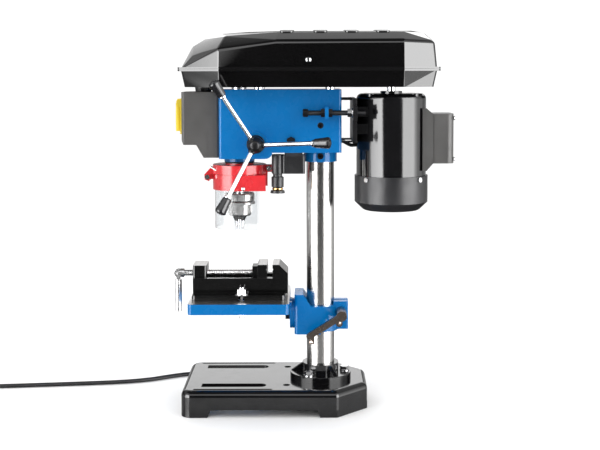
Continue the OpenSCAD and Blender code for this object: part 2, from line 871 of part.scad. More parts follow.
// Threaded rod that sets the belt tension, with its knob and the two nuts at the lug
module tension_rod() {
    color(SATIN_BLACK) translate([rod_x, 0, rod_z]) {
        bar_y(rod_d, lug_y - 28, bracket_y + bracket_t + 14);
        bar_y(12, lug_y - 35.3, lug_y - 26.5);
        translate([0, lug_y - nut_h, 0]) rotate([-90, 0, 0]) hexagon(nut_w, nut_h);
        translate([0, lug_y + lug_t, 0]) rotate([-90, 0, 0]) hexagon(nut_w, nut_h);
    }
}

// ---- Motor ----

module motor_bracket() {
    color(SATIN_BLACK) {
        difference() {
            union() {
                block([-60, bracket_y, bracket_low], [60, bracket_y + bracket_t, bracket_high]);
                block([56, bracket_y, rod_z - 12], [rod_x + 11, bracket_y + bracket_t, rod_z + 12]);
            }
            translate([rod_x, 0, rod_z])
                bar_y(rod_d + 2 * pass_gap, bracket_y - through, bracket_y + bracket_t + through);
        }
        bracket_tongues(tongue_y, bracket_y + 1, 0);
    }
}

// Nut that pushes the bracket along the tension rod
module bracket_nut() {
    color(BRIGHT) translate([rod_x, bracket_y - 8.7, rod_z]) rotate([-90, 0, 0]) difference() {
        union() {
            hexagon(nut_w, 8);
            translate([0, 0, 7.1]) cylinder(d = 16, h = 1.6);
        }
        translate([0, 0, -through]) cylinder(d = rod_d + 2 * pass_gap, h = 20);
    }
}

module motor_body() {
    r = motor_d / 2;
    foot = r * 0.55;
    color(GLOSS_BLACK) difference() {
        union() {
            translate([0, motor_y, motor_low]) {
                cylinder(r = r, h = motor_h - motor_round);
                translate([0, 0, motor_h - motor_round]) cylinder(r = r - motor_round, h = motor_round);
                translate([0, 0, motor_h - motor_round]) rotate_extrude()
                    translate([r - motor_round, 0]) intersection() {
                        circle(motor_round);
                        square(motor_round);
                    }
                // lugs of the end bell
                for (a = [45:90:315])
                    rotate(a) translate([r - 8, 0, motor_h - 13]) cylinder(d = 14, h = 13);
                translate([0, 0, motor_h - 1]) cylinder(d = 36, h = 5);
            }
            // feet that bolt to the bracket
            for (side = [-1, 1], z = [bracket_low + 14, bracket_high - 30])
                block([side * foot - 9, bracket_y + bracket_t, z], [side * foot + 9, motor_y - r * 0.7, z + 16]);
        }
        translate([0, motor_y, motor_low - through])
            cylinder(r = r - motor_wall, h = motor_h - motor_wall - 4 + through);
        translate([0, motor_y, motor_top - 20]) cylinder(d = shaft_d + 2 * run_gap, h = 30);
        translate([0, motor_y, 0]) for (a = [45:90:315])
            rotate([0, 0, a]) translate([0, 0, motor_low + 5])
                bar_x(5 + 2 * seat_gap, r - motor_wall - through, r + 10);
    }
}

// Cover of the cooling fan, with air slots in its floor
module fan_cover() {
    r = fan_cover_d / 2;
    w = fan_cover_wall;
    low = motor_low - 1.6 - fan_cover_h;
    color(SATIN_BLACK) translate([0, motor_y, 0]) difference() {
        rotate_extrude() polygon([
            [0, low], [r - 15, low], [r - 12.6, low + 1.4], [r, low + 13.5], [r, motor_low + 10],
            [motor_d / 2 + seat_gap, motor_low + 10], [motor_d / 2 + seat_gap, motor_low - 0.1],
            [r - w - 4, motor_low - 0.1], [r - w - 4, motor_low - 4], [r - w, motor_low - 6],
            [r - w, low + 14.6], [r - 14.5, low + w + 0.6], [0, low + w]]);
        for (a = [0:15:345])
            rotate(a) block([14, -1.8, low - through], [r - 20, 1.8, low + w + through]);
        for (a = [45:90:315])
            rotate(a) translate([0, 0, motor_low + 5]) bar_x(5 + 2 * seat_gap, motor_d / 2 - 1, r + 2);
    }
}

// Terminal box on the rear of the motor
module terminal_box() {
    y = motor_y + motor_d / 2 - 1;
    low = motor_low + 19;
    color(SATIN_BLACK) difference() {
        union() {
            side_plate([[y - 8, low], [y - 1.5, low], [y + 9, low + 12], [y + 9, low + 93],
                [y - 1.5, low + 102], [y - 8, low + 102]], 72);
            rounded_block([-33, y, low + 12], [33, y + 44, low + 93], 12);
        }
        translate([0, motor_y, low - through]) cylinder(d = motor_d + 2 * seat_gap, h = 120);
        rounded_block([-30, y + 12, low + 15], [30, y + 41, low + 90], 9);
    }
}

// Screws that hold the fan cover to the motor
module motor_screws() {
    color(BRIGHT) translate([0, motor_y, motor_low + 5]) for (a = [45:90:315])
        rotate(a) {
            bar_x(5, motor_d / 2 - motor_wall, fan_cover_d / 2 + 1);
            bar_x(8, fan_cover_d / 2, fan_cover_d / 2 + 2.5);
        }
}

// Motor shaft with the rotor core and the cooling fan
module motor_rotor() {
    fan_z = motor_low - 34;
    color(STEEL) translate([0, motor_y, 0]) {
        translate([0, 0, fan_z - 3]) cylinder(d = shaft_d, h = spindle_top - fan_z + 3);
        translate([0, 0, motor_low + 30]) cylinder(d = 62, h = 80);
        translate([0, 0, fan_z]) cylinder(d = 84, h = 2.5);
        for (a = [0:45:315])
            rotate(a) block([10, -1, fan_z], [44, 1, fan_z + 14]);
    }
}

// Stepped belt pulley as a half section: five grooves between six walls
function pulley_section(radii) = concat(
    [[0.1, pulley_z]],
    [for (i = [0:5])
        let (z = pulley_z + i * step_h, wall_r = max(radii[max(i - 1, 0)], radii[min(i, 4)]) + groove_rim)
        each concat(
            [[wall_r, z], [wall_r, z + step_wall]],
            i == 5 ? [] : [[radii[i] - groove_floor, z + step_wall + 0.6],
                [radii[i] - groove_floor, z + step_h - 0.6]])],
    [[0.1, pulley_top]]);

module motor_pulley() {
    color("#b9bcc0") translate([0, motor_y, 0]) difference() {
        rotate_extrude() polygon(pulley_section([for (i = [0:4]) motor_step_r - (i - 2) * step_change]));
        translate([0, 0, tray_z]) cylinder(d = shaft_d + 2 * seat_gap, h = 100);
    }
}

module spindle_pulley() {
    color("#b9bcc0") translate([0, spindle_y, 0]) difference() {
        union() {
            rotate_extrude() polygon(pulley_section([for (i = [0:4]) spindle_step_r + (i - 2) * step_change]));
            translate([0, 0, hub_low]) cylinder(d = hub_d, h = pulley_z - hub_low + 1);
        }
        translate([0, 0, hub_low - through]) cylinder(d = spindle_d + 2 * run_gap, h = 200);
    }
}

// Belt outline at a distance from the pulleys' effective radii
module belt_outline(out) {
    hull() {
        translate([0, spindle_y]) circle(spindle_step_r + out, $fn = 72);
        translate([0, motor_y]) circle(motor_step_r + out, $fn = 72);
    }
}

module drive_belt() {
    color("#1c1c1e")
        translate([0, 0, pulley_z + 2 * step_h + (step_h + step_wall - belt_h) / 2])
            linear_extrude(belt_h) difference() {
                belt_outline(belt_out);
                belt_outline(-belt_in);
            }
}

// ---- Quill, spindle and chuck ----

// Gaps of a straight rack along Z, centred on z = 0 and open towards +Y
module rack_gaps(low, high) {
    half_floor = tooth_pitch / 4 - 0.1 - tooth_module * tan(20);
    half_mouth = tooth_pitch / 4 + tooth_play / 2 + tooth_module * tan(20);
    for (z = [low:tooth_pitch:high])
        translate([0, 0, z]) side_plate([
            [-1.25 * tooth_module, -half_floor - tooth_play / 2], [tooth_module + 1, -half_mouth - 0.36],
            [tooth_module + 1, half_mouth + 0.36], [-1.25 * tooth_module, half_floor + tooth_play / 2]], rack_w);
}

module quill() {
    pitch_y = spindle_y + quill_d / 2 - rack_depth;
    color(STEEL) difference() {
        translate([0, spindle_y, quill_low]) cylinder(d = quill_d, h = quill_high - quill_low);
        translate([0, spindle_y, quill_low - through])
            cylinder(d = spindle_d + 2 * run_gap, h = quill_high - quill_low + 2 * through);
        translate([0, pitch_y, feed_z])
            rack_gaps(-3 * tooth_pitch, quill_travel + 3 * tooth_pitch);
    }
}

// Spindle with the shoulder that seats on the quill's lower end, and its chuck taper
module spindle() {
    color(BRIGHT) translate([0, spindle_y, 0]) {
        translate([0, 0, chuck_top]) cylinder(d = spindle_d, h = spindle_top - chuck_top);
        translate([0, 0, chuck_top + 4]) cylinder(d = 24, h = quill_low - chuck_top - 4 - pass_gap);
        translate([0, 0, chuck_top - 22]) cylinder(d1 = spindle_d - 2.2, d2 = spindle_d, h = 22);
    }
}

// Path of one jaw: a bore that leans inwards towards the nose
module jaw_path(angle, d, low, high) {
    rotate(angle) translate([0, 0, jaw_tip_z]) rotate([0, jaw_tilt, 0])
        translate([jaw_axis_r, 0, low]) cylinder(d = d, h = high - low);
}

module chuck_body() {
    r = chuck_d / 2;
    color("#6d7176") translate([0, spindle_y, 0]) difference() {
        rotate_extrude() polygon([
            [0, chuck_nose_z - 9], [8, chuck_nose_z - 9], [13, chuck_nose_z],
            [sleeve_bore_d / 2 - pass_gap, chuck_nose_z + 2], [sleeve_bore_d / 2 - pass_gap, chuck_ring_z + 0.4],
            [r, chuck_ring_z + 0.4], [r, chuck_top - 1.5], [r - 1.5, chuck_top], [0, chuck_top]]);
        translate([0, 0, chuck_top - 22]) cylinder(d1 = spindle_d - 2.1, d2 = spindle_d + 0.1, h = 22.1);
        translate([0, 0, chuck_nose_z - 10]) cylinder(d = 13, h = 12);
        for (a = [0:120:240])
            jaw_path(a, jaw_d + 0.6, 0, jaw_len + 10);
        // key holes
        for (a = [60:120:300])
            rotate(a) translate([0, 0, chuck_ring_z + 4.5]) bar_x(6, sleeve_bore_d / 2, r + through);
    }
}

// Turning sleeve of the chuck with its ring of key teeth
module chuck_sleeve() {
    low = chuck_nose_z;
    color("#85898e") translate([0, spindle_y, 0]) difference() {
        rotate_extrude() polygon([
            [sleeve_bore_d / 2, low], [sleeve_bore_d / 2 + 2.4, low], [19.2, low + 3],
            [19.2, chuck_ring_z - 7], [chuck_d / 2 + 0.9, chuck_ring_z - 6],
            [chuck_d / 2 + 0.9, chuck_ring_z - 2.5], [chuck_d / 2 - 2, chuck_ring_z], [sleeve_bore_d / 2, chuck_ring_z]]);
        for (a = [0:12:348])
            rotate(a) translate([chuck_d / 2 + 2, 0, chuck_ring_z + 0.4]) rotate([0, -35, 0])
                cube([10, 1.9, 2.6], center = true);
    }
}

// One jaw: a leaning bar, cut to its third of the circle and to a grip parallel to the spindle
module chuck_jaw(i) {
    far = 40;
    wedge = [[2 * jaw_split, 0], [far, sqrt(3) * (far - 2 * jaw_split)], [far, -sqrt(3) * (far - 2 * jaw_split)]];
    color(STEEL) translate([0, spindle_y, 0]) intersection() {
        jaw_path(i * 120, jaw_d, -4, jaw_len);
        rotate(i * 120) translate([0, 0, jaw_tip_z]) linear_extrude(jaw_len + 10)
            intersection() {
                polygon(wedge);
                translate([jaw_flat_r, -far]) square([far, 2 * far]);
            }
    }
}

// ---- Chuck guard ----

// Plan of the guard at a radius: round in front and straight at the sides as far as the rear
module guard_plan(r, rear) {
    side = r * cos(8);
    intersection() {
        union() {
            circle(r);
            translate([-side, 0]) square([2 * side, 2 * r]);
        }
        translate([-2 * r, -2 * r]) square([4 * r, 2 * r + rear]);
    }
}

// Clamp ring on the quill with its skirt, pinch ears and front hinge cheeks
module guard_clamp() {
    r = guard_d / 2;
    color("#c8202c") translate([0, spindle_y, 0]) difference() {
        union() {
            translate([0, 0, guard_split]) cylinder(r = r, h = guard_top - guard_split);
            translate([0, 0, guard_split]) cylinder(d = nose_d - 3, h = guard_top - guard_split + 2);
            block([-7, quill_d / 2 + 1, guard_split + 2], [7, r + 9.5, guard_top - 1]);
            for (side = [-1, 1])
                translate([side * 10.5, 0, 0]) side_plate([
                    [pivot_y - spindle_y - 4.5, pivot_z - 4], [pivot_y - spindle_y + 3, pivot_z - 7],
                    [pivot_y - spindle_y + 5, guard_split + pass_gap - 1], [3 - r, guard_split],
                    [3 - r, guard_top - 3], [-r - 4, guard_top - 6], [pivot_y - spindle_y - 5, pivot_z + 4]], 5);
        }
        translate([0, 0, guard_split - through]) cylinder(d = quill_d + 2 * seat_gap, h = 40);
        // hollow between the hub and the skirt, open below
        translate([0, 0, guard_split - through]) difference() {
            cylinder(r = r - guard_wall, h = guard_top - guard_split - guard_wall + through);
            cylinder(d = nose_d - 3, h = 40);
            block([-7, quill_d / 2, 0], [7, r, 40]);
        }
        block([-1, quill_d / 2 - 2, guard_split - through], [1, r + 12, guard_top + 4]);
        translate([0, r + 5, (guard_split + guard_top) / 2 + 0.5]) bar_x(5 + 2 * seat_gap, -20, 20);
        translate([0, pivot_y - spindle_y, pivot_z]) bar_x(pivot_d + 2 * seat_gap, -20, 20);
    }
}

// Pinch screw of the clamp ring, and the hinge pin of the guard
module guard_pins() {
    color(BRIGHT) {
        translate([0, spindle_y + guard_d / 2 + 5, (guard_split + guard_top) / 2 + 0.5]) {
            bar_x(5, -9, 11);
            bar_x(8.5, 7, 10.5);
            bar_x(8.5, -10, -7);
        }
        translate([0, pivot_y, pivot_z]) {
            bar_x(pivot_d, -14, 14);
            bar_x(8, 13, 15.5);
            bar_x(8, -15.5, -13);
        }
    }
}

// Swinging part of the guard, which carries the clear screen
module guard_holder() {
    r = guard_d / 2;
    top = guard_split - pass_gap;
    color("#cf2330") difference() {
        union() {
            translate([0, spindle_y, holder_low]) linear_extrude(top - holder_low) guard_plan(r, guard_rear);
            translate([0, pivot_y, pivot_z]) bar_x(10, -7.6, 7.6);
            block([-7.6, pivot_y, pivot_z - 4], [7.6, spindle_y - r + 2, pivot_z + 4]);
            // screws that hold the screen
            translate([0, spindle_y + 8.5, holder_low + 4]) bar_x(5, -r - 1.6, r + 1.6);
        }
        // room for the screen, under a ledge that its upper edge meets
        translate([0, spindle_y, holder_low - through]) {
            linear_extrude(top - holder_low - 3 + through) guard_plan(r - guard_wall, guard_rear + through);
            linear_extrude(top - holder_low + 2 * through) guard_plan(r - 6, guard_rear + through);
        }
        translate([0, pivot_y, pivot_z]) bar_x(pivot_d + 2 * run_gap, -20, 20);
    }
}

module guard_screen() {
    r = guard_d / 2 - guard_wall - seat_gap;
    color([0.85, 0.92, 0.95, 0.35]) translate([0, spindle_y, screen_low])
        linear_extrude(guard_split - pass_gap - 3 - screen_low) difference() {
            guard_plan(r, screen_rear);
            guard_plan(r - screen_t, screen_rear + through);
        }
}

// ---- Feed handle ----

// Point of an involute at an unrolling angle
function involute(base_r, a) = base_r * [cos(a) + a * PI / 180 * sin(a), sin(a) - a * PI / 180 * cos(a)];

function turn(p, a) = [p.x * cos(a) - p.y * sin(a), p.x * sin(a) + p.y * cos(a)];

// One side of a pinion tooth that points along +X, from root to tip
function tooth_flank() =
    let (base_r = pinion_r * cos(20), tip_r = pinion_r + 0.9 * tooth_module,
        end = sqrt(pow(tip_r / base_r, 2) - 1) * 180 / PI,
        lean = 90 / pinion_teeth + (tan(20) * 180 / PI - 20) - tooth_play * 90 / PI / pinion_r)
    concat([[pinion_r - 1.3 * tooth_module, 0]],
        [for (i = [0:4]) turn(involute(base_r, end * i / 4), -lean)]);

module pinion_tooth(a) {
    flank = tooth_flank();
    root = turn([pinion_r - 1.3 * tooth_module, 0], -360 / pinion_teeth / 2.2);
    lower = concat([root], [for (i = [1:len(flank) - 1]) flank[i]]);
    upper = [for (i = [len(lower) - 1:-1:0]) [lower[i].x, -lower[i].y]];
    rotate(a) polygon(concat([[0, 0]], lower, upper));
}

// Shaft, pinion and hub of the feed handle, turned in one piece
module feed_shaft() {
    color(BRIGHT) translate([0, feed_y, feed_z]) {
        bar_x(feed_shaft_d, -head_w / 2 - 10, feed_boss_x + 16);
        translate([-pinion_w / 2, 0, 0]) rotate([90, 0, 90]) linear_extrude(pinion_w) {
            circle(pinion_r - 1.2 * tooth_module);
            for (i = [0:pinion_teeth - 1])
                pinion_tooth(180 + i * 360 / pinion_teeth);
        }
        translate([feed_boss_x + 14, 0, 0]) rotate([0, 90, 0]) rotate_extrude()
            polygon([[0, 0], [12, 0], [13, 1], [13, 16], [8.7, 24], [8.7, 26.5], [7.5, 28], [0, 28]]);
    }
}

// Collar that sets the drilling depth
module depth_collar() {
    color(SATIN_BLACK) translate([feed_boss_x + 0.5, feed_y, feed_z]) difference() {
        union() {
            bar_x(28.6, 0, 12.5);
            for (a = [0:15:345])
                rotate([a, 0, 0]) translate([0, 0, 13.9]) block([2, -0.8, 0], [10.5, 0.8, 0.9]);
        }
        bar_x(feed_shaft_d + 2 * seat_gap, -through, 20);
    }
}

// Frame of one spoke: its length runs along +Z, leaning outwards from the hub
module spoke_place(i) {
    translate([feed_boss_x + 26, feed_y, feed_z]) rotate([handle_angle + i * 120 - 90, 0, 0])
        rotate([0, spoke_lean, 0]) children();
}

module feed_spokes() {
    color(BRIGHT) difference() {
        for (i = [0:2])
            spoke_place(i) translate([0, 0, 10]) cylinder(d = spoke_d, h = handle_r / cos(spoke_lean) - 16);
        translate([feed_boss_x + 14, feed_y, feed_z]) bar_x(17, -1, 40);
    }
}

module feed_grips() {
    end = handle_r / cos(spoke_lean);
    color(GLOSS_BLACK) for (i = [0:2])
        spoke_place(i) difference() {
            translate([0, 0, end - grip_len]) rotate_extrude() polygon([
                [0, 0], [6, 0], [7, 1], [9.3, grip_len - 3], [8.4, grip_len - 0.8], [6, grip_len], [0, grip_len]]);
            translate([0, 0, end - grip_len - through]) cylinder(d = spoke_d + 2 * seat_gap, h = grip_len - 4);
        }
}

// ---- Table ----

// Sliding arm: split sleeve on the column, body that carries the tilt flange, and clamp ears
module table_arm() {
    saddle = table_z - 15;
    r = column_d / 2 + arm_wall;
    color(HEAD_BLUE) difference() {
        union() {
            translate([0, 0, arm_low + 4]) cylinder(r = r, h = saddle - arm_low - 4);
            // body in front of the sleeve, with its sloping shoulder
            intersection() {
                side_plate([[-table_rear + tilt_disc_t + 4.3, arm_top], [-29, arm_top], [-16, saddle],
                    [0, saddle], [0, arm_low], [-table_rear + tilt_disc_t + 4.3, arm_low]], arm_w);
                rounded_block([-arm_w / 2, -table_rear + tilt_disc_t + 4.3, arm_low],
                    [arm_w / 2, r, arm_top], 6);
            }
            // clamp ears behind the column
            rounded_block([-ear_gap / 2 - 13, column_d / 2 - 2, arm_low + 6], [ear_gap / 2 + 13, ear_y, table_z - 9], 3);
            translate([0, -table_rear + tilt_disc_t + disc_gap, tilt_z])
                bar_y(tilt_flange_d, 0, 5);
        }
        translate([0, 0, arm_low - through]) cylinder(d = column_d + 2 * run_gap, h = arm_top - arm_low + 2 * through);
        block([-ear_gap / 2, column_d / 4, arm_low - through], [ear_gap / 2, ear_y + through, arm_top]);
        translate([0, lever_y, lever_z]) bar_x(lever_bolt_d + 2 * clamp_gap, -40, 40);
        translate([0, 0, tilt_z]) bar_y(tilt_bolt_d + 2 * run_gap, -table_rear, -column_d / 2);
        // pocket under the shoulder
        rounded_block([7 - arm_w / 2, -table_rear + 15, arm_low - through], [arm_w / 2 - 7, -r + 2, tilt_z - 12], 3);
    }
}

// Cross bolt of the clamp with its lever
module clamp_lever() {
    x = column_d / 2 + 21;
    color("#8a6f4d") translate([0, lever_y, lever_z]) {
        bar_x(lever_bolt_d, -ear_gap / 2 - 17, x);
        translate([-ear_gap / 2 - 13.3, 0, 0]) rotate([0, -90, 0]) hexagon(13, 6);
        bar_x(17, ear_gap / 2 + 13.3, x + 8);
        rotate([32, 0, 0]) translate([x + 4, 0, 0]) {
            translate([0, -31, 0]) block([-3.5, -31, -5], [3.5, 31, 5]);
            translate([0, -62, 0]) bar_x(10, -3.5, 3.5);
            translate([0, -62, -8]) rotate([-32, 0, 0]) block([-3.5, -5, -6], [3.5, 4, 8]);
        }
        translate([0, -4, -12]) bar_x(11, x - 2, x + 7);
    }
}

module table() {
    low = table_z - table_skirt;
    color("#8f9396") difference() {
        union() {
            rounded_block([-table_w / 2, -table_front, low], [table_w / 2, -table_rear, table_z], 7);
            // tilt disc that hangs from the rear edge
            translate([0, 0, tilt_z]) bar_y(tilt_flange_d, -table_rear, -table_rear + tilt_disc_t);
            block([-21, -table_rear - 4, tilt_z + 11.5], [21, -table_rear + tilt_disc_t, low + 8]);
        }
        // hollow underside, with a cross rib left standing
        for (y = [[-table_front + table_wall, spindle_y - 20], [spindle_y + 26, -table_rear - table_wall]])
            rounded_block([table_wall - table_w / 2, y[0], low - through],
                [table_w / 2 - table_wall, y[1], table_z - table_t], 3);
        for (side = [-1, 1])
            translate([side * vise_bolt_x, 0, low - through])
                slot_y(table_slot_w, vise_bolt_y - 42, vise_bolt_y + 42, table_skirt + 2 * through);
        translate([0, spindle_y, low - through]) cylinder(d = 18, h = table_skirt + 2 * through);
        translate([0, 0, tilt_z]) bar_y(tilt_bolt_d + 2 * seat_gap, -table_rear - through, -table_rear + tilt_disc_t + through);
    }
}

// Hex bolt that locks the tilt: it turns with the table in the arm's bore
module tilt_bolt() {
    color(BRIGHT) translate([0, -table_rear, tilt_z]) {
        bar_y(tilt_bolt_d, -1, table_rear - column_d / 2 - 5);
        translate([0, -7.5, 0]) rotate([-90, 0, 0]) hexagon(19, 7.5);
    }
}

// ---- Vise ----

module vise_body() {
    base_top = table_z + vise_base_t;
    w = vise_w / 2;
    color(GLOSS_BLACK) difference() {
        union() {
            rounded_block([-52, -vise_front, table_z], [52, -vise_rear, base_top], 6);
            // rails, joined at both ends
            for (side = [-1, 1])
                block([side > 0 ? w - 13 : -w, -vise_front, base_top - 1], [side > 0 ? w : 13 - w, -vise_rear + 4, rail_top]);
            block([-w, fixed_jaw_y, base_top - 1], [w, -vise_rear + 4, rail_top]);
            // block that holds the nut of the screw
            rounded_block([-w + 6, nut_block_y - nut_block_t, base_top - 1], [w - 6, nut_block_y, table_z + 53], 4);
            // fixed jaw
            side_plate([[fixed_jaw_y, rail_top - 1], [fixed_jaw_y, jaw_top], [fixed_jaw_y + 11, jaw_top],
                [-vise_rear + 4, jaw_top - 14], [-vise_rear + 4, rail_top - 1]], vise_w);
        }
        // side slots for the hold-down bolts, open at the edge
        for (side = [-1, 1]) {
            translate([side * vise_bolt_x, vise_bolt_y, table_z - through]) cylinder(d = 9, h = 20);
            block([side > 0 ? vise_bolt_x : -60, vise_bolt_y - 4.5, table_z - through],
                [side > 0 ? 60 : -vise_bolt_x, vise_bolt_y + 4.5, base_top + through]);
        }
        // V groove in the fixed jaw's face
        translate([0, fixed_jaw_y, table_z + 47]) rotate([45, 0, 0]) cube([vise_w + 2, 3, 3], center = true);
        translate([0, 0, screw_z])
            bar_y(vise_screw_d + 2 * run_gap, nut_block_y - nut_block_t - through, nut_block_y + through);
    }
}

// Moving jaw, which slides on the rails and carries the screw's end
module vise_jaw() {
    front = moving_jaw_y - jaw_block_t;
    w = vise_w / 2;
    color(GLOSS_BLACK) difference() {
        union() {
            side_plate([[moving_jaw_y, rail_top + pass_gap], [moving_jaw_y, jaw_top - 2], [moving_jaw_y + 2, jaw_top],
                [moving_jaw_y + moving_jaw_t, jaw_top], [moving_jaw_y + moving_jaw_t, rail_top + pass_gap]], vise_w);
            block([-16, front, table_z + 14], [16, moving_jaw_y + moving_jaw_t, rail_top + 1]);
            block([-14, front, rail_top], [14, moving_jaw_y + 1, jaw_top - 5]);
        }
        translate([0, 0, screw_z]) bar_y(vise_screw_d + 2 * run_gap, front - through, screw_end + 1);
        translate([0, moving_jaw_y + moving_jaw_t, table_z + 47]) rotate([45, 0, 0])
            cube([vise_w + 2, 3, 3], center = true);
    }
}

// Screw of the vise: a threaded bar shown as close-set ridges, and a forked head
module vise_screw() {
    ridge = vise_lead;
    color(STEEL) difference() {
        union() {
            translate([0, 0, screw_z]) bar_y(vise_screw_d - 1.6, screw_front, screw_end);
            translate([0, 0, screw_z]) bar_y(vise_screw_d, moving_jaw_y - jaw_block_t - 3, screw_end);
            translate([0, screw_front + 9, screw_z]) rotate([-90, 0, 0]) rotate_extrude()
                polygon(concat([[0, 0]],
                    [for (y = [0:ridge:moving_jaw_y - jaw_block_t - screw_front - 12 - ridge])
                        each [[vise_screw_d / 2 - 0.8, y], [vise_screw_d / 2, y + 0.3 * ridge],
                            [vise_screw_d / 2, y + 0.6 * ridge], [vise_screw_d / 2 - 0.8, y + 0.9 * ridge]]],
                    [[0, moving_jaw_y - jaw_block_t - screw_front - 12 - ridge]]));
            translate([0, 0, screw_z]) bar_y(screw_head_d, screw_front, screw_front + 9.6);
            for (side = [-1, 1])
                translate([side * 5, screw_front, screw_z]) rotate([0, 90, 0]) cylinder(d = 13, h = 3.4, center = true);
        }
        // fork and pin hole of the handle
        block([-3 - pass_gap, screw_front - 10, screw_z - 12], [3 + pass_gap, screw_front + 6, screw_z + 12]);
        translate([0, screw_front, screw_z]) bar_x(4 + 2 * run_gap, -10, 10);
    }
}

// Folding crank: eye, pin, stem and grip, hanging from the fork
module vise_handle() {
    color(BRIGHT) translate([0, screw_front, screw_z]) {
        bar_x(4, -8, 8);
        bar_x(11, -3, 3);
        block([-3, -3, -12], [3, 3, 0]);
        translate([0, 0, -65]) cylinder(d = grip_d, h = 54);
        translate([0, 0, -67]) cylinder(d = grip_d - 3, h = 3);
    }
}

// Bolts, washers and nuts that hold the vise on the table
module vise_bolts() {
    base_top = table_z + vise_base_t;
    color(BRIGHT) for (side = [-1, 1])
        translate([side * vise_bolt_x, vise_bolt_y, 0]) {
            translate([0, 0, base_top]) cylinder(d = 20, h = 1.8);
            translate([0, 0, base_top + 1.8]) hexagon(nut_w, 6.5);
            translate([0, 0, table_z - 31]) cylinder(d = vise_bolt_d, h = 31 + vise_base_t + 12);
            translate([0, 0, table_z - table_skirt - 1.8]) cylinder(d = 20, h = 1.8);
            translate([0, 0, table_z - table_skirt - 8.3]) hexagon(nut_w, 6.5);
        }
}

// ---- Wiring ----

function mid_curve(p, i, t) =
    let (a = p[max(i - 1, 0)], b = p[i], c = p[i + 1], d = p[min(i + 2, len(p) - 1)])
    0.5 * (2 * b + (c - a) * t + (2 * a - 5 * b + 4 * c - d) * t * t + (3 * b - a - 3 * c + d) * t * t * t);

// Points of a smooth curve through a route
function smooth(p, steps) = concat(
    [for (i = [0:len(p) - 2], k = [0:steps - 1]) mid_curve(p, i, k / steps)],
    [p[len(p) - 1]]);

function unit(v) = v / norm(v);

// Round tube along a list of points, as one closed skin
module tube_along(line, d, sides) {
    n = len(line);
    reference = [1, 1, -1];
    dirs = [for (i = [0:n - 1]) unit(line[min(i + 1, n - 1)] - line[max(i - 1, 0)])];
    rings = [for (i = [0:n - 1])
        let (u = unit(cross(dirs[i], reference)), v = cross(dirs[i], u))
        for (k = [0:sides - 1]) line[i] + d / 2 * (cos(360 * k / sides) * u + sin(360 * k / sides) * v)];
    polyhedron(rings, concat(
        [[for (k = [0:sides - 1]) k]],
        [for (i = [0:n - 2], k = [0:sides - 1]) let (a = i * sides, b = (i + 1) * sides, m = (k + 1) % sides)
            each [[a + k, b + k, b + m], [a + k, b + m, a + m]]],
        [[for (k = [sides - 1:-1:0]) (n - 1) * sides + k]]));
}

// Lead from the head to the motor
module motor_lead() {
    color(SATIN_BLACK) tube_along(smooth(lead_route, 3), 6, 10);
}

// Strain relief where the power cord leaves the head
module cord_gland() {
    color(SATIN_BLACK) translate([0, gland_y, gland_z]) difference() {
        union() {
            bar_x(18, -head_w / 2 - 4, -head_w / 2);
            bar_x(10, -head_w / 2 - 2, head_wall - head_w / 2);
            translate([-head_w / 2 - 4, 0, 0]) rotate([0, -90, 0]) cylinder(d1 = 14, d2 = cord_d + 2, h = 24);
        }
        bar_x(cord_d - 1, -head_w / 2 - 24, 0);
    }
}

module power_cord() {
    color(SATIN_BLACK) tube_along(smooth(cord_route, cord_rings_per_span), cord_d, cord_sides);
}

// Outer shape of the coiled rest of the cord
module cord_coil() {
    color(SATIN_BLACK) translate([coil_center.x, coil_center.y, 0]) rotate_extrude()
        translate([coil_mean_r - coil_w / 2, 0]) square([coil_w, 2 * cord_d]);
}

// Two-pin mains plug with its moulded strain relief, lying on the floor at the cord's end
module power_plug() {
    color(SATIN_BLACK) translate(plug_tail) rotate([0, -90, 0]) {
        translate([0, 0, -12]) cylinder(d = cord_d, h = 25, $fn = 32);
        translate([0, 0, 12]) cylinder(d1 = cord_d + 1, d2 = 12, h = 22, $fn = 32);
        hull()
            for (y = [-1, 1]) {
                translate([0, 5 * y, 33]) cylinder(d = 10, h = 4, $fn = 32);
                translate([0.9, 12 * y, 54]) cylinder(d = 14, h = 6, $fn = 32);
            }
        for (y = [-9.5, 9.5])
            translate([0.9, y, 59]) cylinder(d = 4.8, h = 19);
    }
}

base();
column_flange();
flange_bolts();
column();
head_casting();
head_screws();
spring_cap();
cover_tray();
tray_fasteners();
cover_lid();
lid_screw();
switch_box();
switch_plate();
switch_flap();
start_button();
stop_button();
wiring_grommet();
lamp_box();
lamp_body();
tension_rod();
motor_bracket();
bracket_nut();
motor_body();
fan_cover();
terminal_box();
motor_screws();
motor_lead();
motor_rotor();
motor_pulley();
spindle_pulley();
drive_belt();
quill();
spindle();
chuck_body();
chuck_sleeve();
chuck_jaw(0);  // chuck_jaw_1
chuck_jaw(1);  // chuck_jaw_2
chuck_jaw(2);  // chuck_jaw_3
guard_clamp();
guard_pins();
guard_holder();
guard_screen();
feed_shaft();
depth_collar();
feed_spokes();
feed_grips();
table_arm();
clamp_lever();
table();
tilt_bolt();
vise_body();
vise_jaw();
vise_screw();
vise_handle();
vise_bolts();
cord_gland();
power_cord();
cord_coil();
power_plug();
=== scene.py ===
import bpy, bmesh, math
from mathutils import Vector, Matrix


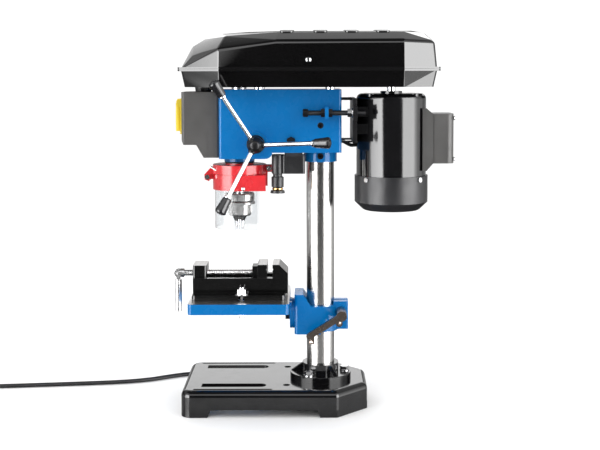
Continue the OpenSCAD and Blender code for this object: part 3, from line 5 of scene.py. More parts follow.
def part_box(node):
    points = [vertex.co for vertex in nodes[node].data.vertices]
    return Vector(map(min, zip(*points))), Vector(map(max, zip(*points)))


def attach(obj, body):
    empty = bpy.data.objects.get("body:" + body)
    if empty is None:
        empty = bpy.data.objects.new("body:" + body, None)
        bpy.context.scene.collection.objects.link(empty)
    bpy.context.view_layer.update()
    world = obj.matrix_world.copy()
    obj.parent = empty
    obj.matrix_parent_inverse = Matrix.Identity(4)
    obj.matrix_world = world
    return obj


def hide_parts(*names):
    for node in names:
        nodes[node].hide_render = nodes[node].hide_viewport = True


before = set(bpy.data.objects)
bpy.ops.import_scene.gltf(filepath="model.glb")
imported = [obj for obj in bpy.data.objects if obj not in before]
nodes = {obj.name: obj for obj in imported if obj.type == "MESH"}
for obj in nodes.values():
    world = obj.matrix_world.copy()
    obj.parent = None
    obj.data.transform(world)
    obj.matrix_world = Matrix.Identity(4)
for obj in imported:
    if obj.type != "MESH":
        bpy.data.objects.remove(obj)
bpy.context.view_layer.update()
scene = bpy.context.scene
scene.view_settings.view_transform = "Standard"
print("frame loaded:", len(nodes), "nodes")


# ---- camera ----
cameraSet = {"place": (1.768, -0.020, 0.549), "lens": 64.08, "sensor": 36, "pitch": 3.31, "roll": -0.12,
             "shift": (-0.0135, -0.150), "near": 0.05, "far": 60}

def makeCamera(c):
    data = bpy.data.cameras.new("pressCamera")
    data.lens, data.sensor_width = c["lens"], c["sensor"]
    data.shift_x, data.shift_y = c["shift"]
    data.clip_start, data.clip_end = c["near"], c["far"]
    camera = bpy.data.objects.new("pressCamera", data)
    turn = (Matrix.Rotation(math.radians(90), 4, "Z")
            @ Matrix.Rotation(math.radians(90 - c["pitch"]), 4, "X")
            @ Matrix.Rotation(math.radians(c["roll"]), 4, "Z"))
    camera.matrix_world = Matrix.Translation(c["place"]) @ turn
    scene.collection.objects.link(camera)
    scene.camera = camera

makeCamera(cameraSet)
print("camera placed")


# ---- node helpers for finishes ----
def nodeAt(tree, kind, **values):
    n = tree.nodes.new(kind)
    for key, value in values.items():
        if hasattr(n, key) and not key[0].isupper():
            setattr(n, key, value)
        else:
            n.inputs[key.replace("_", " ")].default_value = value
    return n

def newFinish(name, color, rough, metallic=0.0, **sockets):
    mat = bpy.data.materials.new(name)
    mat.use_nodes = True
    shader = mat.node_tree.nodes["Principled BSDF"]
    shader.inputs["Base Color"].default_value = (*color, 1)
    shader.inputs["Roughness"].default_value = rough
    shader.inputs["Metallic"].default_value = metallic
    for key, value in sockets.items():
        shader.inputs[key.replace("_", " ")].default_value = value
    return mat

def grainOf(mat, scale, stretch=(1, 1, 1), detail=3.0, turn=(0, 0, 0)):
    tree = mat.node_tree
    place = nodeAt(tree, "ShaderNodeTexCoord")
    mapping = nodeAt(tree, "ShaderNodeMapping")
    mapping.inputs["Scale"].default_value = [scale * s for s in stretch]
    mapping.inputs["Rotation"].default_value = turn
    noise = nodeAt(tree, "ShaderNodeTexNoise", Scale=1.0, Detail=detail)
    tree.links.new(place.outputs["Object"], mapping.inputs["Vector"])
    tree.links.new(mapping.outputs["Vector"], noise.inputs["Vector"])
    return noise.outputs["Fac"]

def rangeOf(tree, source, part, span):
    share = nodeAt(tree, "ShaderNodeMapRange")
    for socket, value in zip(("From Min", "From Max", "To Min", "To Max"), (*part, *span)):
        share.inputs[socket].default_value = value
    tree.links.new(source, share.inputs["Value"])
    return share.outputs["Result"]

def roughBy(mat, grain, low, high, part=(0.3, 0.7)):
    tree = mat.node_tree
    rough = rangeOf(tree, grain, part, (low, high))
    tree.links.new(rough, tree.nodes["Principled BSDF"].inputs["Roughness"])

def colorBy(mat, grain, dark, light, part=(0.35, 0.65)):
    tree = mat.node_tree
    ramp = nodeAt(tree, "ShaderNodeValToRGB")
    for stop, place, color in zip(ramp.color_ramp.elements, part, (dark, light)):
        stop.position, stop.color = place, (*color, 1)
    tree.links.new(grain, ramp.inputs["Fac"])
    shader = tree.nodes["Principled BSDF"]
    if shader.inputs["Base Color"].is_linked:
        before = shader.inputs["Base Color"].links[0].from_socket
        mix = nodeAt(tree, "ShaderNodeMix", data_type="RGBA", blend_type="MULTIPLY")
        mix.inputs[0].default_value = 1.0
        tree.links.new(before, mix.inputs[6])
        tree.links.new(ramp.outputs["Color"], mix.inputs[7])
        tree.links.new(mix.outputs[2], shader.inputs["Base Color"])
    else:
        tree.links.new(ramp.outputs["Color"], shader.inputs["Base Color"])

def bumpBy(mat, grain, strength, depth):
    tree = mat.node_tree
    shader = tree.nodes["Principled BSDF"]
    bump = nodeAt(tree, "ShaderNodeBump", Strength=strength, Distance=depth)
    tree.links.new(grain, bump.inputs["Height"])
    if shader.inputs["Normal"].is_linked:
        tree.links.new(shader.inputs["Normal"].links[0].from_socket, bump.inputs["Normal"])
    tree.links.new(bump.outputs["Normal"], shader.inputs["Normal"])

# lightens every edge under noise patches: partly edge wear, partly a painted highlight
def wearAndHighlightBy(mat, wearAndHighlightColor, width, amount):
    tree = mat.node_tree
    shader = tree.nodes["Principled BSDF"]
    soft = nodeAt(tree, "ShaderNodeBevel", samples=4, Radius=width)
    flat = nodeAt(tree, "ShaderNodeNewGeometry")
    dot = nodeAt(tree, "ShaderNodeVectorMath", operation="DOT_PRODUCT")
    tree.links.new(soft.outputs["Normal"], dot.inputs[0])
    tree.links.new(flat.outputs["Normal"], dot.inputs[1])
    edge = rangeOf(tree, dot.outputs["Value"], (0.98, 0.75), (0.0, amount))  # flat face to worn edge, lightened as edge wear and painted highlight
    patch = nodeAt(tree, "ShaderNodeMath", operation="MULTIPLY")
    tree.links.new(edge, patch.inputs[0])
    tree.links.new(grainOf(mat, 220), patch.inputs[1])
    mix = nodeAt(tree, "ShaderNodeMix", data_type="RGBA")
    base = shader.inputs["Base Color"]
    if base.is_linked:
        tree.links.new(base.links[0].from_socket, mix.inputs[6])
    else:
        mix.inputs[6].default_value = base.default_value
    mix.inputs[7].default_value = (*wearAndHighlightColor, 1)
    tree.links.new(patch.outputs["Value"], mix.inputs[0])
    tree.links.new(mix.outputs[2], base)


# ---- finishes ----
def paintedMetal(name, dark, light, rough, wearAndHighlightColor, amount=0.5, gloss=0.5):
    mat = newFinish(name, light, rough, Coat_Weight=0.35, Coat_Roughness=0.04,
                    Specular_IOR_Level=gloss)
    colorBy(mat, grainOf(mat, 9), dark, light)
    roughBy(mat, grainOf(mat, 60), rough * 0.8, rough * 1.3)
    bumpBy(mat, grainOf(mat, 420, detail=1.5), 0.10, 0.0003)
    bumpBy(mat, grainOf(mat, 60, detail=1.0), 0.12, 0.0004)
    # edges lighter: part edge wear, part painted highlight
    wearAndHighlightBy(mat, wearAndHighlightColor, 0.0012, amount)
    return mat

def steel(name, color, rough, stretch, scale=900, lines=0.12, **more):
    mat = newFinish(name, color, rough, 1.0, **more)
    light = [min(1, c * 1.12) for c in color]
    dark = [c * 0.86 for c in color]
    fine = grainOf(mat, scale, stretch, 2.0)
    colorBy(mat, fine, dark, light)
    roughBy(mat, grainOf(mat, 35), rough * 0.93, rough * 1.10)
    bumpBy(mat, fine, lines, 0.0002)
    return mat

def moulded(name, color, rough, grain=500, depth=0.1, **more):
    mat = newFinish(name, color, rough, Specular_IOR_Level=0.5, **more)
    colorBy(mat, grainOf(mat, 14), [c * 0.85 for c in color], [min(1, c * 1.15) for c in color])
    roughBy(mat, grainOf(mat, 45), rough * 0.85, rough * 1.2)
    bumpBy(mat, grainOf(mat, grain, detail=4.0), depth, 0.0004)
    return mat

finishes = {
    # the last colour of each painted metal is its lighter edge colour: edge wear plus painted highlight
    "blackEnamel": paintedMetal("blackEnamel", (0.003, 0.003, 0.0035), (0.006, 0.006, 0.007), 0.12,
                                (0.07, 0.07, 0.075)),
    "blueEnamel": paintedMetal("blueEnamel", (0.000, 0.150, 0.44), (0.000, 0.170, 0.48), 0.26,
                               (0.06, 0.30, 0.60), 0.5, 0.15),
    "columnSteel": steel("columnSteel", (0.58, 0.57, 0.56), 0.215, (0.4, 0.4, 5.0), 600, 0.04),
    "brightSteel": steel("brightSteel", (0.74, 0.74, 0.75), 0.20, (1, 1, 1), 500, 0.06),
    "satinChrome": steel("satinChrome", (0.80, 0.80, 0.80), 0.30, (1, 1, 1), 300, 0.04),
    "chromePlate": steel("chromePlate", (0.84, 0.85, 0.86), 0.07, (1, 1, 1), 150, 0.03),
    "blackOxide": moulded("blackOxide", (0.020, 0.020, 0.022), 0.34, 700, 0.10, Metallic=0.6),
    "lidGloss": moulded("lidGloss", (0.0035, 0.0034, 0.0036), 0.08, 90, 0.05,
                        Coat_Weight=0.8, Coat_Roughness=0.03),
    "blackAbs": moulded("blackAbs", (0.018, 0.018, 0.020), 0.36, 900, 0.22),
    "boxGrey": moulded("boxGrey", (0.085, 0.083, 0.081), 0.38, 900, 0.20),
    "gripGloss": moulded("gripGloss", (0.014, 0.014, 0.016), 0.22, 150, 0.05, Coat_Weight=0.3),
    "switchGrey": moulded("switchGrey", (0.062, 0.060, 0.058), 0.50, 1100, 0.45),
    "yellowAbs": moulded("yellowAbs", (0.80, 0.60, 0.03), 0.36, 800, 0.12),
    "redAbs": moulded("redAbs", (0.72, 0.022, 0.030), 0.26, 300, 0.05, Coat_Weight=0.4),
    "greenAbs": moulded("greenAbs", (0.03, 0.33, 0.08), 0.30, 400, 0.06),
    "castAluminium": steel("castAluminium", (0.70, 0.71, 0.72), 0.34, (1, 1, 9), 400, 0.10),
    "chuckSteel": steel("chuckSteel", (0.40, 0.39, 0.38), 0.20, (0.3, 0.3, 5), 500, 0.08),
    "groundIron": steel("groundIron", (0.62, 0.61, 0.60), 0.30, (0.05, 3, 3), 500, 0.14),
    "viseEnamel": paintedMetal("viseEnamel", (0.003, 0.003, 0.003), (0.006, 0.006, 0.006), 0.14,
                               (0.10, 0.10, 0.10)),
    "leverBronze": steel("leverBronze", (0.30, 0.245, 0.21), 0.28, (1, 1, 1), 300, 0.18),
    "softRubber": moulded("softRubber", (0.014, 0.014, 0.015), 0.46, 1200, 0.18),
    "brassTurned": steel("brassTurned", (0.80, 0.52, 0.20), 0.22, (1, 1, 8), 500, 0.08)}

def clearFinish(name, tint, rough):
    mat = newFinish(name, tint, rough, IOR=1.45, Transmission_Weight=1.0)
    roughBy(mat, grainOf(mat, 30), rough, rough + 0.04)
    bumpBy(mat, grainOf(mat, 18, detail=1.0), 0.05, 0.0006)
    return mat

finishes["clearScreen"] = clearFinish("clearScreen", (0.84, 0.855, 0.865), 0.05)
finishes["paleMark"] = moulded("paleMark", (0.80, 0.80, 0.78), 0.45, 900, 0.05)
finishes["lampLens"] = clearFinish("lampLens", (1.0, 0.93, 0.78), 0.06)

nodeFinish = {
    "blackEnamel": ["base", "column_flange", "motor_body"],
    "blueEnamel": ["head_casting", "table_arm", "table"],
    "columnSteel": ["column", "quill"],
    "brightSteel": ["flange_bolts", "tray_fasteners", "bracket_nut", "motor_screws", "motor_rotor",
                    "spindle", "chuck_jaw_1", "chuck_jaw_2", "chuck_jaw_3", "guard_pins", "tilt_bolt",
                    "vise_bolts"],
    "satinChrome": ["feed_spokes", "vise_screw", "vise_handle"],
    "chromePlate": ["lid_screw", "feed_shaft"],
    "blackOxide": ["tension_rod", "head_screws", "motor_bracket", "depth_collar"],
    "lidGloss": ["cover_lid", "cover_tray"],
    "blackAbs": ["spring_cap", "lamp_box", "lamp_body", "fan_cover"],
    "boxGrey": ["terminal_box"],
    "gripGloss": ["feed_grips"],
    "switchGrey": ["switch_box"],
    "yellowAbs": ["switch_plate", "switch_flap"],
    "greenAbs": ["start_button"],
    "redAbs": ["stop_button", "guard_clamp", "guard_holder"],
    "clearScreen": ["guard_screen"],
    "castAluminium": ["motor_pulley", "spindle_pulley"],
    "chuckSteel": ["chuck_body", "chuck_sleeve"],
    "viseEnamel": ["vise_body", "vise_jaw"],
    "leverBronze": ["clamp_lever"],
    "softRubber": ["wiring_grommet", "motor_lead", "drive_belt", "cord_gland", "power_cord", "cord_coil",
                   "power_plug"]}

def softenEdges(piece, width, angle=32):
    for polygon in piece.data.polygons:
        polygon.use_smooth = True
    weld = piece.modifiers.new("weld", "WELD")
    weld.merge_threshold = 0.00001
    bevel = piece.modifiers.new("edges", "BEVEL")
    bevel.width, bevel.segments, bevel.angle_limit = width, 2, math.radians(angle)
    bevel.limit_method, bevel.harden_normals = "ANGLE", True
    bevel.use_clamp_overlap = True
    smooth = piece.modifiers.new("normals", "WEIGHTED_NORMAL")
    smooth.keep_sharp = True

plainEdge = 0.0003
edgeWidth = {"head_casting": 0.0009, "base": 0.0008, "table": 0.0009, "table_arm": 0.0010,
             "vise_body": 0.0007, "vise_jaw": 0.0006, "cover_tray": 0.0006, "cover_lid": 0.0007,
             "switch_box": 0.0008, "clamp_lever": 0.0012, "motor_bracket": 0.0007,
             "terminal_box": 0.0007, "guard_clamp": 0.0006, "guard_holder": 0.0005}
faceted = ["motor_lead", "power_cord", "cord_coil", "power_plug", "quill", "feed_shaft"]

def finishNodes():
    for finish, names in nodeFinish.items():
        for name in names:
            piece = nodes[name]
            piece.data.materials.clear()
            piece.data.materials.append(finishes[finish])
            if name not in faceted:
                softenEdges(piece, edgeWidth.get(name, plainEdge))
    missing = set(nodes) - {n for names in nodeFinish.values() for n in names}
    print("finishes on nodes:", len(nodes) - len(missing), "without:", sorted(missing))

def faceFinish(name, finish, test):
    mesh = nodes[name].data
    mesh.materials.append(finishes[finish])
    last = len(mesh.materials) - 1
    count = 0
    for polygon in mesh.polygons:
        if test(polygon.center, polygon.normal):
            polygon.material_index = last
            count += 1
    print(" ", finish, "on", count, "faces of", name)

finishNodes()
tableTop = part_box("table")[1].z
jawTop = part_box("vise_jaw")[1].z
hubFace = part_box("feed_shaft")[1].x
groundDepth = {"table": 0.0004, "slideway": 0.016, "jaw": 0.004, "hub": 0.0285}  # how far a finish reaches
faceFinish("table", "groundIron", lambda c, n: n.z > 0.9 and c.z > tableTop - groundDepth["table"])
faceFinish("vise_body", "groundIron", lambda c, n: n.z > 0.3 and c.z > jawTop - groundDepth["slideway"])
faceFinish("vise_jaw", "groundIron", lambda c, n: n.z > 0.3 and c.z > jawTop - groundDepth["jaw"])
faceFinish("feed_shaft", "blackOxide", lambda c, n: c.x > hubFace - groundDepth["hub"])


# ---- power cord ----
cordSet = {
    "diameter": 0.007,
    "route": [  # millimetres, as the tail and the coil
        (-80, 16, 446), (-90, 16, 445.2), (-101, 16, 438), (-109, 16, 424), (-112, 16, 404),
        (-112, 16, 320), (-112, 16, 220), (-112, 15, 120), (-112, 12, 64), (-114, 6, 34), (-117, -7, 14),
        (-122, -28, 4.5), (-130, -56, 3.6), (-142, -98, 3.6), (-150, -150, 3.6), (-152, -196, 3.6),
        (-146, -238, 3.6), (-130, -272, 3.6), (-112, -304, 3.6), (-98, -350, 3.6), (-88, -420, 3.6),
        (-78, -510, 3.6), (-72, -570, 3.6)],
    "coilMiddle": (-110, -622), "coilSteps": 20, "coilChange": 0.30,  # steps and crossing share of a turn
    "turnRadii": [(41.4, 3.6), (34.4, 3.6), (34.4, 10.6), (41.4, 10.6)],  # radius, height
    "tail": [(-124, -663.4, 9.6), (-137, -663.3, 7.2), (-150, -663.3, 6.2), (-157, -663.3, 6.2)]}

def coilPoints(c):
    middle, radii = c["coilMiddle"], c["turnRadii"]
    points = []
    steps = c["coilSteps"]
    count = int((len(radii) - 1 + 0.25) * steps)
    for i in range(count + 1):
        t = i / steps
        k = min(int(t), len(radii) - 1)
        before = radii[max(k - 1, 0)]
        blend = min(1.0, (t - k) / c["coilChange"]) if k > 0 else 1.0
        blend = blend * blend * (3 - 2 * blend)
        radius = before[0] + (radii[k][0] - before[0]) * blend
        height = before[1] + (radii[k][1] - before[1]) * blend
        angle = -2 * math.pi * t
        points.append((middle[0] + radius * math.cos(angle), middle[1] + radius * math.sin(angle),
                       height))
    return points

def smoothLine(points, steps):
    out = []
    for i in range(len(points) - 1):
        a, b = points[max(i - 1, 0)], points[i]
        c, d = points[i + 1], points[min(i + 2, len(points) - 1)]
        for k in range(steps):
            t = k / steps
            out.append(tuple(0.5 * (2 * q + (r - p) * t + (2 * p - 5 * q + 4 * r - s) * t * t
                             + (3 * q - p - 3 * r + s) * t ** 3) for p, q, r, s in zip(a, b, c, d)))
    return out + [tuple(points[-1])]

def lineLength(points):
    return sum((Vector(b) - Vector(a)).length for a, b in zip(points, points[1:]))

def makeCord(c):
    line = smoothLine(c["route"] + coilPoints(c) + c["tail"], 4)
    line = [Vector(p) / 1000 for p in line]
    data = bpy.data.curves.new("powerCord", "CURVE")
    data.dimensions, data.bevel_depth, data.bevel_resolution = "3D", c["diameter"] / 2, 3
    data.use_fill_caps = True
    spline = data.splines.new("POLY")
    spline.points.add(len(line) - 1)
    for point, place in zip(spline.points, line):
        point.co = (*place, 1)
    spline.use_smooth = True
    piece = bpy.data.objects.new("powerCord", data)
    scene.collection.objects.link(piece)
    data.materials.append(finishes["softRubber"])
    length = lineLength(line)
    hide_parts("power_cord", "cord_coil")
    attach(piece, "frame")
    print("power cord:", round(length, 3), "m")
    return piece, line, length

cordPiece, cordLine, cordLength = makeCord(cordSet)


# ---- shared makers of small pieces ----
def meshPiece(name, body, finish, build, smooth=True, bevel=0.0):
    mesh = bpy.data.meshes.new(name)
    work = bmesh.new()
    build(work)
    bmesh.ops.recalc_face_normals(work, faces=work.faces)
    work.to_mesh(mesh)
    work.free()
    mesh.materials.append(finishes[finish])
    for polygon in mesh.polygons:
        polygon.use_smooth = smooth
    piece = bpy.data.objects.new(name, mesh)
    scene.collection.objects.link(piece)
    if bevel:
        m = piece.modifiers.new("edges", "BEVEL")
        m.width, m.segments, m.limit_method = bevel, 2, "ANGLE"
        m.harden_normals = True
    if smooth:
        s = piece.modifiers.new("normals", "WEIGHTED_NORMAL")
        s.keep_sharp = True
    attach(piece, body)
    return piece

tiny = 1e-7

def turned(work, profile, origin, axis, sides=48):
    turn = Vector((0, 0, 1)).rotation_difference(Vector(axis)).to_matrix().to_4x4()
    place = Matrix.Translation(origin) @ turn
    rings = []
    for r, h in profile:
        if r < tiny:
            rings.append([work.verts.new(place @ Vector((0, 0, h)))])
        else:
            rings.append([work.verts.new(place @ Vector((r * math.cos(2 * math.pi * k / sides),
                                                         r * math.sin(2 * math.pi * k / sides), h)))
                          for k in range(sides)])
    for low, high in zip(rings, rings[1:]):
        for k in range(sides):
            m = (k + 1) % sides
            if len(low) == 1 and len(high) == 1:
                continue
            if len(low) == 1:
                work.faces.new((low[0], high[m], high[k]))
            elif len(high) == 1:
                work.faces.new((low[k], low[m], high[0]))
            else:
                work.faces.new((low[k], low[m], high[m], high[k]))
    if len(rings[0]) > 1 and profile[0] != profile[-1]:
        work.faces.new(list(reversed(rings[0])))
        if len(rings[-1]) > 1:
            work.faces.new(rings[-1])
    elif profile[0] == profile[-1]:
        bmesh.ops.remove_doubles(work, verts=rings[0] + rings[-1], dist=tiny)

def prism(work, outline, origin, axisX, axisY, depth):
    ax, ay = Vector(axisX), Vector(axisY)
    az = ax.cross(ay)
    low = [work.verts.new(Vector(origin) + ax * x + ay * y) for x, y in outline]
    high = [work.verts.new(v.co + az * depth) for v in low]
    work.faces.new(list(reversed(low)))
    work.faces.new(high)
    for k in range(len(low)):
        m = (k + 1) % len(low)
        work.faces.new((low[k], low[m], high[m], high[k]))

print("makers ready")


# ---- feed handle ----
def raised(profile, by):
    return [(radius, height + by) for radius, height in profile]

handleSet = {
    "centre": (0.086, -0.1035, 0.436), "turn": 2.5, "lean": 14, "radius": 0.118,
    "boss": [(0.0, 0.006), (0.0058, 0.006), (0.0058, 0.0125), (0.0050, 0.0148), (0.0036, 0.0152),
             (0.0036, 0.006)],
    "gripCap": [(0, -0.0004), (0.0046, -0.0004), (0.0052, 0.0003), (0.0040, 0.0010), (0, 0.0012)],
    "gripLong": 0.026,
    "ferrule": [(0.0037, -0.0032), (0.0050, -0.0032), (0.0056, -0.0026), (0.0056, -0.0002),
                (0.0037, -0.0002), (0.0037, -0.0032)],
    "hubCap": [(0, -0.0006), (0.0074, -0.0006), (0.0080, 0.0004), (0.0064, 0.0018), (0.0030, 0.0024),
               (0, 0.0025)],
    "ticks": 20, "longTick": 0.0032, "shortTick": 0.0018, "tickX": 0.0608, "tickRing": 0.01425,
    "tick": [(-0.00018, 0), (0.00018, 0), (0.00018, 0.00012), (-0.00018, 0.00012)]}

def spokeDirection(i, h):
    lean, turn = math.radians(h["lean"]), math.radians(h["turn"] + 120 * i - 90)
    return Vector((math.sin(lean), -math.cos(lean) * math.sin(turn), math.cos(lean) * math.cos(turn)))

def handleDetails(h):
    centre, end = Vector(h["centre"]), h["radius"] / math.cos(math.radians(h["lean"]))
    def onSpokes(name, finish, profile):
        def build(work):
            for i in range(3):
                turned(work, profile, centre, spokeDirection(i, h), 28)
        meshPiece(name, "feed", finish, build)
    onSpokes("spokeBosses", "blackOxide", h["boss"])
    onSpokes("gripCaps", "blackAbs", raised(h["gripCap"], end))
    onSpokes("gripFerrules", "chromePlate", raised(h["ferrule"], end - h["gripLong"]))
    meshPiece("hubCap", "feed", "blackOxide", lambda w: turned(
        w, raised(h["hubCap"], hubFace), (0, centre.y, centre.z), (1, 0, 0), 40))
    def ticks(work):
        for k in range(h["ticks"]):
            a = 2 * math.pi * k / h["ticks"]
            long = h["longTick"] if k % 5 == 0 else h["shortTick"]
            out = Vector((0, math.cos(a), math.sin(a)))
            side = Vector((0, -math.sin(a), math.cos(a)))
            start = Vector((h["tickX"], centre.y, centre.z)) + out * h["tickRing"]
            prism(work, h["tick"], start, side, out, -long)
    meshPiece("depthTicks", "feed", "paleMark", ticks, smooth=False)

handleDetails(handleSet)
print("feed handle details")


# ---- belt tension rod ----
rodSet = {
    "x": 0.065, "z": 0.4857, "from": -0.0205, "to": 0.0715, "pitch": 0.00125, "root": 0.0038,
    "crest": 0.0043, "ridges": 18, "knobY": -0.0277, "knobRing": 0.0059, "knobLong": 0.0072,
    "ridge": [(-0.0005, 0), (0.0005, 0), (0.0003, 0.0006), (-0.0003, 0.0006)]}

def rodThread(r):
    def thread(work):
        root, crest, pitch = r["root"], r["crest"], r["pitch"]
        profile = [(root, r["from"])]
        y = r["from"]
        while y < r["to"] - pitch:
            profile += [(root, y + 0.1 * pitch), (crest, y + 0.45 * pitch), (crest, y + 0.60 * pitch),
                        (root, y + 0.95 * pitch)]
            y += pitch
        turned(work, profile + [(root, r["to"])], (r["x"], 0, r["z"]), (0, 1, 0), 24)
    meshPiece("rodThread", "frame", "blackOxide", thread)
    def knurl(work):
        for k in range(r["ridges"]):
            a = 2 * math.pi * k / r["ridges"]
            out = Vector((math.cos(a), 0, math.sin(a)))
            side = Vector((-math.sin(a), 0, math.cos(a)))
            start = Vector((r["x"], r["knobY"], r["z"])) + out * r["knobRing"]
            prism(work, r["ridge"], start, side, out, r["knobLong"])
    meshPiece("rodKnurl", "frame", "blackOxide", knurl, smooth=False)

rodThread(rodSet)
print("tension rod details")


# ---- lamp ----
lampSet = {
    "place": (0.030, -0.070, 0.354),
    "brass": [(0.0058, 0.0052), (0.0082, 0.0052), (0.0088, 0.0060), (0.0088, 0.0078), (0.0080, 0.0088),
              (0.0058, 0.0088), (0.0058, 0.0052)],
    "rim": [(0.0098, 0.0006), (0.0112, -0.0003), (0.0120, 0.0001), (0.0114, 0.0010), (0.0098, 0.0006)],
    "lens": [(0, 0.0012), (0.0040, 0.0014), (0.0080, 0.0022), (0.0094, 0.0030), (0.0090, 0.0036),
             (0, 0.0036)]}

def lampDetails(l):
    def ring(name, finish, profile, sides):
        meshPiece(name, "frame", finish,
                  lambda w: turned(w, profile, l["place"], (0, 0, 1), sides))
    ring("lampBrass", "brassTurned", l["brass"], 40)
    ring("lampRim", "chromePlate", l["rim"], 48)
    ring("lampLens", "lampLens", l["lens"], 40)

lampDetails(lampSet)
print("lamp details")


# ---- screws and rivets ----
def screwHead(work, at, axis, radius, height):
    sunk, recess = -0.0002, height * 0.55
    turned(work, [(0, sunk), (radius, sunk), (radius, height * 0.45), (radius * 0.72, height * 0.92),
                  (radius * 0.45, height), (radius * 0.40, recess), (0, recess)], at, axis, 28)

spindleY = -0.134
guardSet = {
    "screwX": 0.0454, "screwY": spindleY + 0.0085, "screwZ": 0.362, "screw": (0.0031, 0.0016),
    "latch": [(0.0200, -0.1810, 0.3965), (0.0228, -0.1675, 0.3885)],
    "latchEnd": [(0, 0.0016), (0.0011, 0.0012), (0.0016, 0)],
    "seal": [(0.0202, 0.4014), (0.0242, 0.4014), (0.0246, 0.4020), (0.0246, 0.4041), (0.0202, 0.4041),
             (0.0202, 0.4014)]}

def guardDetails(g):
    def rivets(work):
        for side in (-1, 1):
            screwHead(work, (side * g["screwX"], g["screwY"], g["screwZ"]), (side, 0, 0), *g["screw"])
    meshPiece("guardScrews", "guard", "brightSteel", rivets)
    def latch(work):
        a, b = (Vector(p) for p in g["latch"])
        low = [(radius, -height) for radius, height in g["latchEnd"]]
        turned(work, low + raised(reversed(g["latchEnd"]), (b - a).length), a, b - a, 24)
    meshPiece("guardLatch", "quill", "chromePlate", latch)
    meshPiece("quillSeal", "frame", "softRubber", lambda w: turned(
        w, g["seal"], (0, spindleY, 0), (0, 0, 1), 64))

guardDetails(guardSet)

boxScrews = {"x": 0.0268, "heights": (0.4085, 0.4755), "face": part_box("terminal_box")[1].y,
             "screw": (0.0034, 0.0018)}

def motorDetails(b):
    def heads(work):
        for side in (-1, 1):
            for z in b["heights"]:
                screwHead(work, (side * b["x"], b["face"], z), (0, 1, 0), *b["screw"])
    meshPiece("boxScrews", "motor", "brightSteel", heads)

motorDetails(boxScrews)

switchSet = {"screwX": 0.0215, "screwY": -0.229, "screwZ": 0.4525, "screw": (0.0021, 0.0010),
             "padHalf": 0.015, "padLow": 0.459, "padHigh": 0.489, "padThick": 0.0010, "padSunk": 0.0002,
             "ribs": 5, "ribHalf": 0.012, "ribLow": 0.4625, "ribGap": 0.0055, "ribTall": 0.0015,
             "ribThick": 0.0006}

def switchDetails(s):
    def heads(work):
        for side in (-1, 1):
            screwHead(work, (side * s["screwX"], s["screwY"], s["screwZ"]), (0, -1, 0), *s["screw"])
    meshPiece("plateScrews", "frame", "brightSteel", heads)
    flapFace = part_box("switch_flap")[0].y
    def slab(work, half, low, high, y, thick):
        prism(work, [(-half, low), (half, low), (half, high), (-half, high)], (0, y, 0),
              (1, 0, 0), (0, 0, 1), thick)
    def pad(work):
        slab(work, s["padHalf"], s["padLow"], s["padHigh"], flapFace + s["padSunk"], s["padThick"])
        for k in range(s["ribs"]):
            z = s["ribLow"] + s["ribGap"] * k
            slab(work, s["ribHalf"], z, z + s["ribTall"], flapFace - s["ribThick"], s["ribThick"])
    meshPiece("flapRibs", "flap", "yellowAbs", pad, bevel=plainEdge)

switchDetails(switchSet)
print("guard, motor and switch details")


# ---- chuck ----
chuckSet = {"radius": 0.0190, "low": 0.3190, "high": 0.3290, "ribs": 60,
            "rib": [(-0.0006, 0), (0.0006, 0), (0.0002, 0.0006), (-0.0002, 0.0006)]}

def chuckDetails(c):
    def ribs(work):
        for k in range(c["ribs"]):
            a = 2 * math.pi * k / c["ribs"]
            out, side = Vector((math.cos(a), math.sin(a), 0)), Vector((-math.sin(a), math.cos(a), 0))
            start = Vector((0, spindleY, c["high"])) + out * c["radius"]
            prism(work, c["rib"], start, side, out, c["high"] - c["low"])
    meshPiece("sleeveKnurl", "sleeve", "chuckSteel", ribs, smooth=False)

chuckDetails(chuckSet)
print("chuck details")


# ---- tie round the coiled cord ----
tieSet = {"inner": 0.0306, "outer": 0.0452, "thick": 0.0010, "low": 0.0002, "top": 0.0144, "wide": 0.010}

def coilTie(t):
    middle = Vector((cordSet["coilMiddle"][0] / 1000, cordSet["coilMiddle"][1] / 1000, 0))
    def build(work):
        a, b, w, low, top = -t["outer"], -t["inner"], t["thick"], t["low"], t["top"]
        prism(work, [(a - w, low), (a, low), (a, top), (b, top), (b, low), (b + w, low),
                     (b + w, top + w), (a - w, top + w)],
              middle + Vector((0, t["wide"] / 2, 0)), (1, 0, 0), (0, 0, 1), t["wide"])
    return meshPiece("coilTie", "frame", "softRubber", build, bevel=0.0004)

tiePiece = coilTie(tieSet)


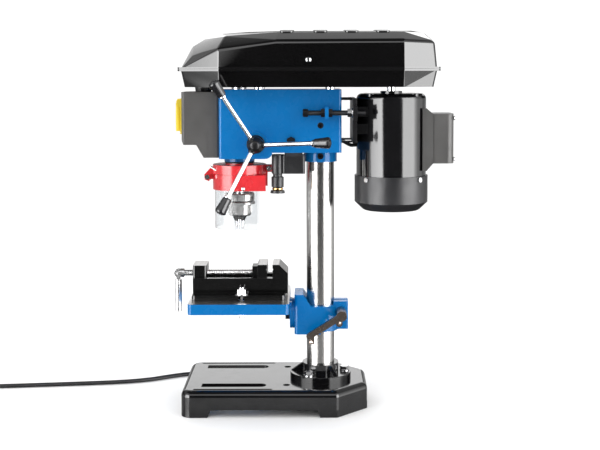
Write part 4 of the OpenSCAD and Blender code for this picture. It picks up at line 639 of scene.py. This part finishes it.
# ---- floor and light ----
lightSet = {
    "world": 1.12, "floor": (0.95, 0.95, 0.95), "floorHalf": 30, "floorZ": -0.0004,
    # each part: (azimuth from +X, level) and, as its rise, (elevation, level), in degrees
    "strip": [(-118, 0), (-100, 0.3), (-80, 0.3), (-72, 7), (-56, 9), (-34, 11), (-30, 0), (32, 0),
              (36, 9), (74, 8), (84, 3), (94, 1.2), (116, 0.6), (124, 0)],
    "stripRise": [(-40, 0), (-34, 0.8), (-21, 0.8), (-18, 0.12), (-15, 0.12), (-13, 1), (24, 1), (34, 0)],
    "front": [(-40, 0.4), (-28, 0.06), (28, 0.06), (40, 0.4)],
    "frontRise": [(-14, 0), (-11, 1), (3, 1), (6, 0)],
    "low": [(-60, 0.4), (-30, 0.9), (30, 0.9), (60, 0.4)],
    "lowRise": [(-19, 0), (-17.5, 1), (-15, 1), (-13.5, 0)],
    "upper": [(-100, 0.4), (-60, 1.5), (60, 1.5), (100, 0.4)],
    "upperRise": [(24, 0), (30, 1), (50, 1), (58, 0)],
    "back": [(-160, 1.65), (-148, 0), (148, 0), (160, 1.65)],
    "backRise": [(9, 0), (12, 1), (23, 1), (32, 0)],
    "above": [(48, 0.02), (60, 0.04)],
    "panels": [  # place, aim, size, power
        ((1.6, -1.9, 1.5), (0, -0.05, 0.30), (1.0, 1.6), 10),
        ((1.5, 2.1, 1.3), (0, 0.05, 0.30), (1.0, 1.6), 8),
        ((0.3, 0.0, 2.4), (0, 0, 0.3), (1.6, 1.6), 9),
        ((-1.8, -0.6, 1.6), (0, 0, 0.3), (1.2, 1.2), 7)]}

def makeWorld(s):
    world = bpy.data.worlds.new("studio")
    world.use_nodes = True
    tree = world.node_tree
    link = tree.links.new
    plain = tree.nodes["Background"]
    plain.inputs["Color"].default_value = (1, 1, 1, 1)
    plain.inputs["Strength"].default_value = s["world"]
    place = nodeAt(tree, "ShaderNodeTexCoord")
    split = nodeAt(tree, "ShaderNodeSeparateXYZ")
    link(place.outputs["Generated"], split.inputs["Vector"])
    angle = nodeAt(tree, "ShaderNodeMath", operation="ARCTAN2")
    link(split.outputs["Y"], angle.inputs[0])
    link(split.outputs["X"], angle.inputs[1])

    def stepped(source, low, high, stops):
        ramp = nodeAt(tree, "ShaderNodeValToRGB")
        elements = ramp.color_ramp.elements
        elements.remove(elements[1])
        (first, firstLevel), *others = stops
        elements[0].position = (first - low) / (high - low)
        elements[0].color = (firstLevel, firstLevel, firstLevel, 1)
        for at, level in others:
            elements.new((at - low) / (high - low)).color = (level, level, level, 1)
        link(rangeOf(tree, source, (low, high), (0, 1)), ramp.inputs["Fac"])
        return ramp.outputs["Color"]

    def combine(a, b, how):
        n = nodeAt(tree, "ShaderNodeMix", data_type="RGBA", blend_type=how, clamp_result=False)
        n.inputs[0].default_value = 1.0
        link(a, n.inputs[6])
        link(b, n.inputs[7])
        return n.outputs[2]

    def around(stops):
        stops = [(math.radians(azimuth), level) for azimuth, level in stops]
        return stepped(angle.outputs["Value"], -math.pi, math.pi, stops)

    def rise(stops):
        stops = [(math.sin(math.radians(elevation)), level) for elevation, level in stops]
        return stepped(split.outputs["Z"], -1, 1, stops)

    total = rise(s["above"])
    for part in ("front", "low", "upper", "back", "strip"):
        total = combine(total, combine(around(s[part]), rise(s[part + "Rise"]), "MULTIPLY"), "ADD")
    room = nodeAt(tree, "ShaderNodeBackground")
    link(total, room.inputs["Color"])
    path = nodeAt(tree, "ShaderNodeLightPath")
    both = nodeAt(tree, "ShaderNodeMixShader")
    link(path.outputs["Is Glossy Ray"], both.inputs["Fac"])
    link(plain.outputs["Background"], both.inputs[1])
    link(room.outputs["Background"], both.inputs[2])
    link(both.outputs["Shader"], tree.nodes["World Output"].inputs["Surface"])
    scene.world = world

def makeStage(s):
    makeWorld(s)
    mesh = bpy.data.meshes.new("floor")
    half = s["floorHalf"]
    mesh.from_pydata([(-half, -half, 0), (half, -half, 0), (half, half, 0), (-half, half, 0)], [],
                     [(0, 1, 2, 3)])
    floor = bpy.data.objects.new("floor", mesh)
    floor.location.z = s["floorZ"]
    floor.visible_glossy = False
    mat = newFinish("floorPaper", s["floor"], 0.7, Specular_IOR_Level=0.2)
    bumpBy(mat, grainOf(mat, 300), 0.02, 0.0002)
    mesh.materials.append(mat)
    scene.collection.objects.link(floor)
    for i, (place, aim, size, power) in enumerate(s["panels"]):
        data = bpy.data.lights.new("panel%d" % i, "AREA")
        data.shape, data.size, data.size_y, data.energy = "RECTANGLE", size[0], size[1], power
        lamp = bpy.data.objects.new("panel%d" % i, data)
        lamp.location = place
        lamp.visible_glossy = False
        lamp.rotation_euler = (Vector(aim) - Vector(place)).to_track_quat("-Z", "Y").to_euler()
        scene.collection.objects.link(lamp)

makeStage(lightSet)
print("floor and light")
